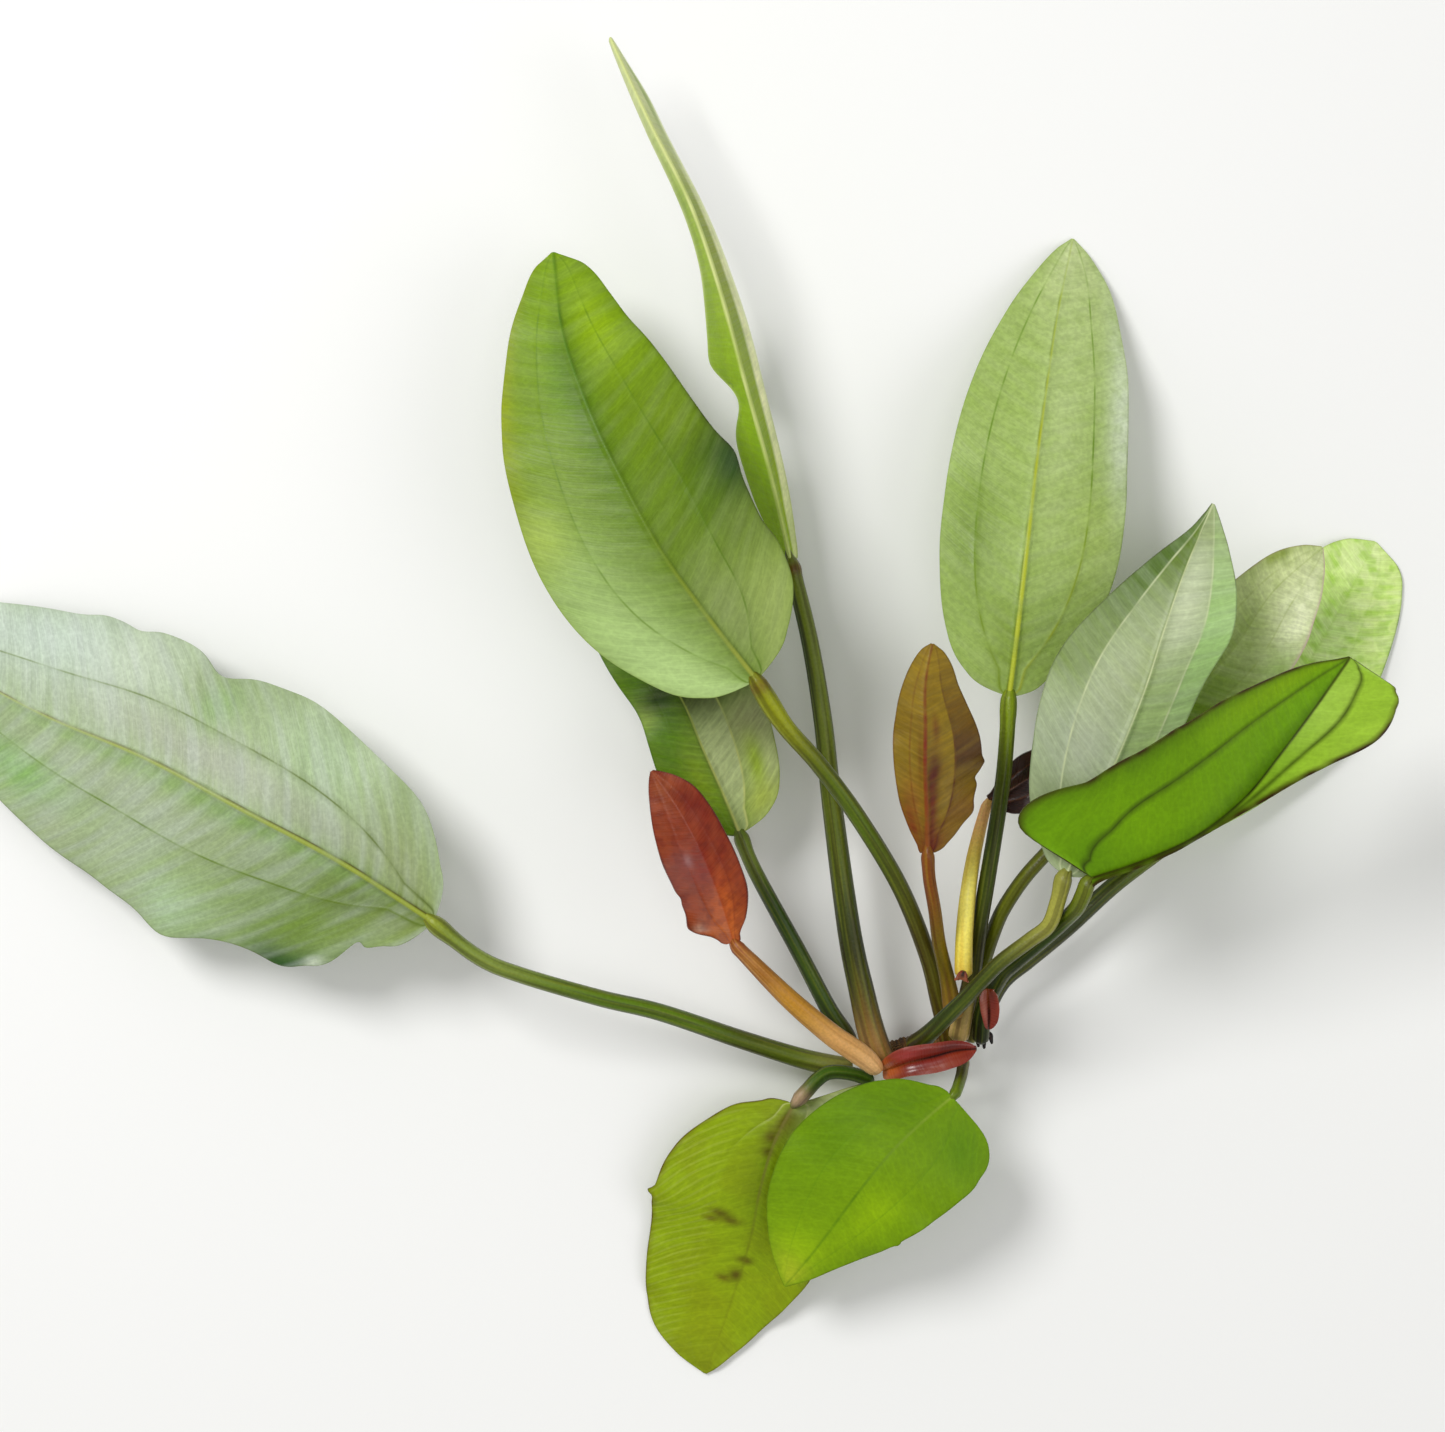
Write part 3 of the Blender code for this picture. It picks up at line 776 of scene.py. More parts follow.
@dataclass
class Blade:
    """The flat part of a leaf, with its midrib and side veins raised in its own mesh.

    route, halves, tilts, sweep and wave are the sizes of the CAD solid, in mm and degrees. What
    comes in a pair is given for the left side first. veins says how far out the side veins run,
    as a share of the half width. base is the tissue's colour under all its patches, and lean how
    much the cross veins lean to the tip. Rims are drawn along the edges, and rib shade lines,
    which are painted shade, just beside the raised midrib.
    """

    node: str
    slot: str
    skin: LeafSkin
    base: str
    route: tuple[Point, ...]
    halves: tuple[Numbers, Numbers]
    tilts: tuple[Numbers, Numbers]
    sweep: Numbers = (0, 0)
    wave: Numbers = (0.8, 2.5, 0.0)
    shown: Shown = Shown.UNDERSIDE
    veins: Numbers = (0.5, 0.5)
    rib_mm: Numbers = (0.9, 0.45, 0.12)
    vein_mm: float = 0.18
    midrib: Line = Line(("#B5BD3C",), (0.9, 0.85, 0.6), (0.9, 0.6, 0.3))
    side_veins: tuple[Line, Line] = (Line(("#8FA04A",), (0.7, 0.55, 0.3)),) * 2
    rims: tuple[Line, Line] = (NO_LINE,) * 2
    # Painted shade just beside the raised midrib, one line for each side
    rib_shade_lines: tuple[Line, Line] = (NO_LINE,) * 2
    pleat_mm: float = 0.04
    pleat_pitch_mm: float = 2.6
    lean: float = 0.45
    thickness_mm: float = 0.45
    rows_per_mm: float = 2.0
    roll_mm: Numbers = (0.0, 0.0)
    tints: tuple[Tint, ...] = ()
    panels: tuple[Panel, ...] = ()
    curls: tuple[Curl, ...] = ()

    def half(self, t: np.ndarray, side: Side) -> np.ndarray:
        """The half width of one side as seen from above, in mm.

        Args:
            t: Shares along the midrib.
            side: LEFT or RIGHT.

        Returns:
            The half width at each share.
        """
        width = profile(pick(self.halves, side), t)
        for curl in self.curls:
            if curl.side is side:
                width = width + curl.out_mm * bell(t, curl.t, curl.long)
        return np.maximum(width, LEAST_HALF_WIDTH)

    def columns(self, t: np.ndarray, side: Side) -> tuple[np.ndarray, np.ndarray]:
        """Where the mesh's lines run on one side: they follow the midrib, vein and edge.

        Args:
            t: Shares along the midrib.
            side: LEFT or RIGHT.

        Returns:
            The distance of each line from the midrib in mm, and that of the side vein.
        """
        width = self.half(t, side)
        rib = np.minimum(RIB_HALF_WIDTH, RIB_SHARE * width)
        # The side vein leaves the midrib near the base and draws in again towards the tip
        reach = (pick(self.veins, side) * (1 - np.exp(-t / VEIN_START))
                 * (1 - VEIN_DRAWN_IN * t**3))
        vein = np.clip(reach * profile(pick(self.halves, side), t),
                       rib + VEIN_INSET * width, (1 - VEIN_INSET) * width)
        foot = np.minimum(VEIN_FOOT, VEIN_FOOT_SHARE * width)
        inner = width - np.minimum(RIM_WIDTH, RIM_SHARE * width)
        stops = [np.zeros_like(t), rib, vein - foot, vein, vein + foot, inner, width]
        lines = [stops[0]]
        for a, b, strips in zip(stops, stops[1:], STRIPS):
            lines += [a + (b - a) * k / strips for k in range(1, strips + 1)]
        return np.stack(lines, -1), vein

    def bend(self, tt: np.ndarray, share: np.ndarray, side: Side, fade: np.ndarray) -> np.ndarray:
        """How the blade as a whole tilts, rolls, waves and curls on one side.

        Args:
            tt: Shares along the midrib, in one column.
            share: Shares of the way out to the edge, rows by columns.
            side: LEFT or RIGHT.
            fade: How strong the waves are in each row.

        Returns:
            The height of each point above the midrib, in mm.
        """
        width = self.half(tt, side)
        tilt = np.tan(np.radians(three(pick(self.tilts, side), tt)))
        height, count, phase = self.wave
        lift = width * tilt * share**TILT_POWER
        lift += pick(self.roll_mm, side) * np.sin(np.pi * share) * fade
        lift += height * share**2 * np.sin(2 * np.pi * (count * tt + phase) + side) * fade
        # Shorter, lower waves at the edge alone
        lift += (0.25 * height * share**3 * fade
                 * np.sin(2 * np.pi * (2.7 * count * tt + phase) + side))
        for curl in self.curls:
            if curl.side is side:
                lift += curl.lift_mm * bell(tt, curl.t, curl.long) * share**4
        return lift

    def ribs(self, tt: np.ndarray, out: np.ndarray, side: Side, vein: np.ndarray) -> np.ndarray:
        """How the midrib and the side vein stand out from one side, or sink into it.

        Args:
            tt: Shares along the midrib, in one column.
            out: Distances from the midrib in mm, rows by columns.
            side: LEFT or RIGHT.
            vein: The side vein's distance in mm at each row.

        Returns:
            The height of each point above the plain blade, in mm.
        """
        rib_width = np.minimum(RIB_HALF_WIDTH, RIB_SHARE * self.half(tt, side))
        rib = three(self.rib_mm, tt) * np.exp(-((out / (0.62 * rib_width)) ** 2))
        ridge = self.vein_mm * bell(out, vein[:, None], RIDGE_REACH)
        ridge *= (1 - RIDGE_FALL * tt) * np.clip(tt / RIDGE_START, 0, 1)
        return self.shown.value * (rib * RIB_SHOWN[self.shown] + ridge)

    def pleats(self, along: np.ndarray, out: np.ndarray, side: Side) -> np.ndarray:
        """The uneven shallow pleats between the cross veins, which lean towards the tip.

        Args:
            along: Distances along the midrib in mm, in one column.
            out: Distances from the midrib in mm, rows by columns.
            side: LEFT or RIGHT.

        Returns:
            The height of each point above the plain blade, in mm.
        """
        turn = 2 * np.pi * (along - self.lean * out) / self.pleat_pitch_mm
        # Three waves of other pitches, bent by slower ones, so that no two pleats are alike
        pleat = (np.sin(turn + 1.7 * np.sin(along / 7.0 + 2.0 * side) + 1.2 * np.sin(out / 3.1))
                 + 0.8 * np.sin(0.61 * turn + 2.0 * np.sin(along / 11.0) + 0.9 * side)
                 + 0.7 * np.sin(0.37 * turn + 1.3 * np.sin(out / 5.0)))
        pleat *= 0.55 + 0.45 * np.sin(along / 9.0 + 0.35 * out + side)
        return self.pleat_mm * pleat * np.clip((out - 0.8) / 3.0, 0, 1)

    def place(self, t: np.ndarray, out: np.ndarray, side: Side, line: Midline,
              vein: np.ndarray) -> np.ndarray:
        """The blade's surface on one side.

        Args:
            t: Shares along the midrib, one for each row.
            out: Distances from the midrib in mm, rows by columns.
            side: LEFT or RIGHT.
            line: The midrib's line.
            vein: The side vein's distance in mm at each row.

        Returns:
            Points in metres, rows by columns by 3.
        """
        tt = t[:, None]
        share = out / self.half(tt, side)
        fade = np.sin(np.pi * np.clip(tt * 1.02, 0, 1)) ** 0.5
        lift = self.bend(tt, share, side, fade) + self.ribs(tt, out, side, vein)
        lift += self.pleats(line.length / MM * tt, out, side) * (1 - share**6) * fade
        widest = max(pick(self.halves, side))
        back = pick(self.sweep, side) * (out / widest) ** SWEEP_POWER
        back = back * np.exp(-((tt / SWEEP_LENGTH) ** 2))
        forward, left, up = (a[:, None, :] for a in line.axes(t))
        middle = line.at(t)[:, None, :]
        return middle + (left * (side * out)[..., None] + up * lift[..., None]
                         - forward * back[..., None]) * MM

    def drawn(self, t: np.ndarray, signed: np.ndarray, half: np.ndarray,
              vein_at: np.ndarray) -> np.ndarray:
        """The colour and strength of the veins and edges drawn on the blade.

        Args:
            t: Shares along the midrib, one for each row.
            signed: Distance from the midrib in mm, above 0 on the left.
            half: The half width at each point, in mm.
            vein_at: The side vein's distance at each point, in mm.

        Returns:
            Red, green, blue and strength, rows by columns by 4.
        """
        left = signed >= 0
        far = np.abs(signed)
        beads = np.sin(t * 61.0) + np.sin(t * 97.0 + 1.0) + np.sin(t * 23.0 + 2.0)
        # A line, the distance from it, where it may be and how sharp it is, the lowest first
        marks = []
        # The rib shade lines are painted shade beside the raised midrib
        for pair, distance in ((self.rims, half - far), (self.side_veins, far - vein_at),
                               (self.rib_shade_lines, far - 1.25 * self.midrib.reach(t))):
            marks += [(pair[0], distance, left, 2), (pair[1], distance, ~left, 2)]
        marks.append((self.midrib, far, np.ones_like(left), 4))
        colour = np.zeros((*signed.shape, 3))
        strength = np.zeros(signed.shape)
        for mark, distance, where, power in marks:
            share = np.clip(three(mark.shares, t) * (1 + mark.beaded * beads), 0, 1)
            share = share[:, None] * where
            share = share * np.exp(-((np.abs(distance) / mark.reach(t)) ** power))
            both = share + strength * (1 - share)
            safe = np.maximum(both, 1e-6)[..., None]
            colour = (ramp(mark.colours, t)[:, None, :] * share[..., None]
                      + colour * (strength * (1 - share))[..., None]) / safe
            strength = both
        return np.concatenate([colour, strength[..., None]], -1)

    def painted(self, tt: np.ndarray, signed: np.ndarray, half: np.ndarray,
                vein_at: np.ndarray) -> np.ndarray:
        """The tissue's colour, with its patches and panels.

        Args:
            tt: Shares along the midrib, in one column.
            signed: Distance from the midrib in mm, above 0 on the left.
            half: The half width at each point, in mm.
            vein_at: The side vein's distance at each point, in mm.

        Returns:
            Linear colours, rows by columns by 3.
        """
        tint = plain(self.base, signed.shape)
        for patch in self.tints:
            near = bell(tt, patch.t, patch.long) * bell(signed / half, patch.s, patch.wide)
            mix_in(tint, patch.colour, patch.share * near)
        for panel in self.panels:
            border = PANEL_BORDER if panel.outer else -PANEL_BORDER
            past = (np.abs(signed) - vein_at) / border + 0.5
            here = panel.share * bell(tt, panel.t, panel.long) * np.clip(past, 0, 1)
            here *= (signed >= 0) == (panel.side is LEFT)
            mix_in(tint, panel.colour, here)
        return tint

    def build(self) -> None:
        """Build, paint and dress the blade."""
        line = Midline(self.route)
        share = np.linspace(0, 1, max(FEWEST_ROWS, int(line.length / MM * self.rows_per_mm)))
        t = share - CROWDING * np.sin(2 * np.pi * share)
        tt = t[:, None]
        outs, veins, places = [], [], []
        for side in (LEFT, RIGHT):
            out, vein = self.columns(t, side)
            outs.append(out)
            veins.append(vein[:, None])
            places.append(self.place(t, out, side, line, vein))
        points = np.concatenate([places[0][:, ::-1], places[1][:, 1:]], 1)
        points[..., 2] = np.maximum(points[..., 2], self.thickness_mm * 0.5 * MM)
        signed = np.concatenate([outs[0][:, ::-1], -outs[1][:, 1:]], 1)
        left = signed >= 0
        half = np.where(left, self.half(tt, LEFT), self.half(tt, RIGHT))
        vein_at = np.where(left, *veins)
        # In the UV map the cross veins are level, though they lean and bend towards the tip
        bend = (self.lean * np.abs(signed) + CROSS_BEND * signed**2) * MM
        uv = np.stack([signed * MM, tt * line.length - bend], -1)
        piece = Piece(f"leaf_{self.node}", points)
        piece.paint(self.painted(tt, signed, half, vein_at),
                    self.drawn(t, signed, half, vein_at), uv)
        piece.thicken(self.thickness_mm)
        piece.dress(self.skin.material(), self.node)


@dataclass(frozen=True)
class Band:
    """A stretch of a stalk that has another colour, all round or at a turn about its line.

    It lies at t and reaches long from there. turn is 0 and 1 at the stalk's left, 0.25 on top
    and 0.5 at its right, and wide is how far the band reaches about the line.
    """

    t: float
    long: float
    colour: str
    share: float = 0.9
    turn: float = 0.25
    wide: float = 9.0


@dataclass
class Stalk:
    """A leaf stalk: a shallow-ridged tube that may widen to a sheath where it starts.

    route and radii are the sizes of the CAD solid, in mm. onto is the blade whose midrib the
    stalk runs into. The thick stem and the remains of roots are made in the same way.
    """

    node: str
    slot: str
    skin: StalkSkin | FibreSkin
    base: str
    route: tuple[Point, ...]
    radii: Numbers
    onto: Blade | None = None
    onto_mm: float = 9.0
    knee: Numbers = (0.97, 0.02, 0.0)
    sheath_mm: float = 0.0
    sheath_long: float = 0.12
    bands: tuple[Band, ...] = ()
    foot_mm: float = 1.6
    # The colour and strength of the painted shade on the flanks, where the tube turns away from
    # the light above
    flank_shade: str = "#2C2E10"
    flank_shade_share: float = 0.5
    sides: int = 28
    ridge: float = 0.05
    ring_mm: float = 0.0
    rows_per_mm: float = 1.2

    def path(self) -> tuple[Midline, float]:
        """The stalk's line, with its run along the underside of the blade's base.

        Returns:
            The line, and the share of it that is the stalk's own.
        """
        own = Midline(self.route)
        if not self.onto:
            return own, 1.0
        blade = Midline(self.onto.route)
        part = self.onto_mm * MM / blade.length
        below = np.array([0.0, 0.0, RUN_DEPTH[self.onto.shown]])
        more = blade.at(RUN_POINTS * part) / MM + OUTLINE_MIDDLE - below
        line = Midline((*self.route, *(tuple(p) for p in more)))
        return line, own.length / line.length

    def radius(self, t: np.ndarray, length: float, end: float) -> np.ndarray:
        """The tube's radius, rounded at the foot and tapered along the run into the midrib.

        Args:
            t: Shares along the line.
            length: The line's length in metres.
            end: The share of the line that is the stalk's own.

        Returns:
            The radius in mm, in one column.
        """
        radius = three(self.radii, np.clip(t / end, 0, 1))
        if self.onto:
            past = np.clip((t - end) / (1 - end), 0, 1)
            radius = radius * (1 - past) ** RUN_TAPER + RUN_TIP * past
        where, long, swell = self.knee
        radius = radius + swell * bell(t / end, where, long)
        # Rings of uneven height
        radius = radius + self.ring_mm * np.sin(t * 90) * np.sin(t * 41 + 1)
        start = np.clip(t * length / (self.foot_mm * MM), 0, 1)
        rounded = np.sqrt(1 - (1 - start) ** 2)
        return (radius * (FOOT_SHARE + (1 - FOOT_SHARE) * rounded))[:, None]

    def painted(self, t: np.ndarray, turn: np.ndarray, end: float) -> np.ndarray:
        """The tissue's colour, with painted shade on its flanks, and its bands.

        Args:
            t: Shares along the line.
            turn: Angles about it.
            end: The share of the line that is the stalk's own.

        Returns:
            Linear colours, rows by columns by 3.
        """
        tint = plain(self.base, (len(t), len(turn)))
        # Painted shade on the flanks, strongest at the sides as seen from above
        mix_in(tint, self.flank_shade, (self.flank_shade_share * np.abs(np.cos(turn)) ** 4)[None, :])
        for band in self.bands:
            near = bell(t / end, band.t, band.long)[:, None]
            mix_in(tint, band.colour,
                   band.share * near * bell(turn / (2 * np.pi), band.turn, band.wide))
        return tint

    def build(self) -> None:
        """Build, paint and dress the stalk."""
        line, end = self.path()
        t = np.linspace(0, 1, max(FEWEST_RINGS, int(line.length / MM * self.rows_per_mm)))
        turn = np.linspace(0, 2 * np.pi, self.sides + 1)
        ribs = 1 + self.ridge * (np.cos(3 * turn + 0.6) + 0.35 * np.cos(9 * turn))
        round_mm = self.radius(t, line.length, end) * ribs
        foot = np.exp(-((t / self.sheath_long) ** 2))[:, None]
        wing = (self.sheath_mm * foot * np.abs(np.cos(turn)) ** WING_POWER
                * np.sign(np.cos(turn)))
        across = round_mm * np.cos(turn) + wing
        flatter = SHEATH_FLATTENING * foot * (self.sheath_mm > 0)
        tall = round_mm * np.sin(turn) * (1 - flatter)
        _, left, up = (a[:, None, :] for a in line.axes(t))
        points = line.at(t)[:, None, :] + (left * across[..., None] + up * tall[..., None]) * MM
        points[..., 2] = np.maximum(points[..., 2], 0.0)
        uv = np.stack(np.broadcast_arrays(self.radii[1] * turn * MM,
                                          (t * line.length)[:, None]), -1)
        piece = Piece(f"leaf_{self.node}" if self.onto else f"crown_{self.node}", points)
        piece.paint(self.painted(t, turn, end), np.zeros((len(t), len(turn), 4)), uv)
        piece.close()
        piece.dress(self.skin.material(), self.node)


# ------------------------------------------------------------------ the plant's finishes
# Live leaves. The undersides are waxed and matt, with a pale bloom whose pale streaks are partly
# painted sheen; the satin ones are upper sides or fresh leaves, more even and stronger in colour.
# Pale streaks, partly bloom and partly painted sheen, long and broad, speckled: the leaf looks
# silvery
SILVERY = LeafSkin("waxed leaf underside, silvery", "#C2CAC4", "#BCCBB4", 0.3, streak=0.06,
                   streak_mm=4.0, streak_length_mm=26.0, silk=0.04, speck_depth=0.1, gloss=0.36)
# Less of the pale streaks, partly painted sheen, narrower and stronger: grey green
POINTED = LeafSkin("waxed leaf underside, grey green", "#C6CDBE", "#BCCBB4", 0.12, streak=0.08,
                   streak_mm=2.6, silk=0.05, gloss=0.3)
# Hardly any bloom and a low gloss: soft pale green
PALE = LeafSkin("waxed leaf underside, pale green", "#A3B37C", "#A9BF80", 0.14, streak=0.07,
                streak_mm=3.6, silk=0.04, gloss=0.2)
# Small greener dots all over
SPECKLED = LeafSkin("waxed leaf underside, speckled", "#C4D49C", "#A9BF80", 0.16, streak=0.05,
                    silk=0.03, net=0.03, mottle="#8CA84E", mottle_share=0.22, mottle_mm=3.0,
                    speck_mm=1.0, speck_depth=0.14, gloss=0.3)
# Even, juicy green with a dull satin look
FRESH = LeafSkin("satin leaf, fresh green", "#86AE24", "#9CC63E", 0.12, streak=0.04,
                 streak_mm=4.0, silk=0.02, net=0.05, mottle="#6C9018", mottle_share=0.16,
                 speck_depth=0.08, roughness=0.42, gloss=0.12)
# Yellowing tissue whose cross veins show as fine even lines on one half
PATCHED = LeafSkin("satin leaf with fine cross lines", "#98AA34", "#BCC668", 0.15, streak=0.06,
                   streak_mm=2.6, silk=0.04, cross_share=0.16, cross_pitch_mm=2.2,
                   cross_from_mm=-8.0, mottle="#7E7A26", mottle_share=0.2, roughness=0.4,
                   gloss=0.18)
# Strong dark streaks and a low gloss, as on a leaf that lies in shade
SHADED = LeafSkin("waxed leaf underside, shaded", "#8E9C60", "#7C9A3C", 0.12, streak_mm=2.0,
                  silk=0.06, net=0.08, gloss=0.14)
# Young tissue, smooth and shining, with dark red clouds
RUST = LeafSkin("young leaf, rust brown", "#B4684A", "#C07A48", 0.18, streak=0.08, streak_mm=4.0,
                streak_length_mm=4.0, silk=0.03, mottle="#6A241C", mottle_share=0.35,
                mottle_mm=2.2, roughness=0.3, gloss=0.3, coat=0.12)
# Young tissue with fine streaks along the cross veins and brown clouds
OLIVE = LeafSkin("young leaf, olive brown", "#A08A44", "#9A8438", 0.15, streak=0.12,
                 streak_mm=2.0, streak_length_mm=14.0, silk=0.06, mottle="#6E541A",
                 mottle_share=0.25, mottle_mm=5.0, roughness=0.4, gloss=0.22)
# Dry-looking bloom with green dots
DULL = LeafSkin("waxed leaf underside, dull", "#CCD4A6", "#A8AC86", 0.2, streak=0.08,
                streak_mm=2.2, silk=0.05, mottle="#8EA450", mottle_share=0.25, mottle_mm=3.0,
                speck_depth=0.12, gloss=0.22)
# A wet film over pale and lime green clouds: it shines
LIME = LeafSkin("wet leaf, lime green", "#E4F2B0", "#CDE48E", 0.45, streak=0.06, streak_mm=2.2,
                streak_length_mm=9.0, silk=0.04, mottle="#A0CE46", mottle_share=0.65,
                mottle_mm=3.4, roughness=0.24, coat=0.3)
# Tight new tissue, smooth and moist
BUD = LeafSkin("folded young leaf, red brown", "#B86A50", "#A8604A", 0.1, streak=0.03,
               streak_mm=6.0, streak_length_mm=2.0, silk=0.0, net=0.02, roughness=0.3, gloss=0.35,
               coat=0.3, ripple_mm=0.02)
# Live stalks: smooth, with lighter threads and darker bands along them
GREEN_STALK = StalkSkin("leaf stalk, green", "#8A9040", "#3E3212", 0.35)
TAN_STALK = StalkSkin("leaf stalk, tan", "#DDAA62", "#96602A", 0.4, 0.35)
OLIVE_STALK = StalkSkin("leaf stalk, red brown", "#A08038", "#5A2A20")
YELLOW_STALK = StalkSkin("leaf stalk, yellow", "#FFF08A", "#D8A048", 0.3, 0.25)
# Dead fibre: dull and rough, the roots nearly black
STEM = FibreSkin("thick stem, dry fibre")
ROOT = FibreSkin("old root, dark fibre", "#3A2A20", "#120C0A", "#6A4A34", ring_mm=0.5)

DARK_EDGE = Line(("#4A3A22",), (0.5, 0.5, 0.5), (0.3, 0.3, 0.3))
BROWN_EDGE = Line(("#4A4310", "#4A3A14"), (0.9, 0.9, 0.9), (0.7, 0.7, 0.5))
WHITE_VEIN = Line(("#D5DDA8", "#DDE3B4"), (0.9, 0.85, 0.6), (0.2, 0.17, 0.12))
FINE_VEIN = Line(("#C9D2A4", "#D5DDB0"), (0.8, 0.65, 0.45), (0.15, 0.13, 0.1), 0.25)


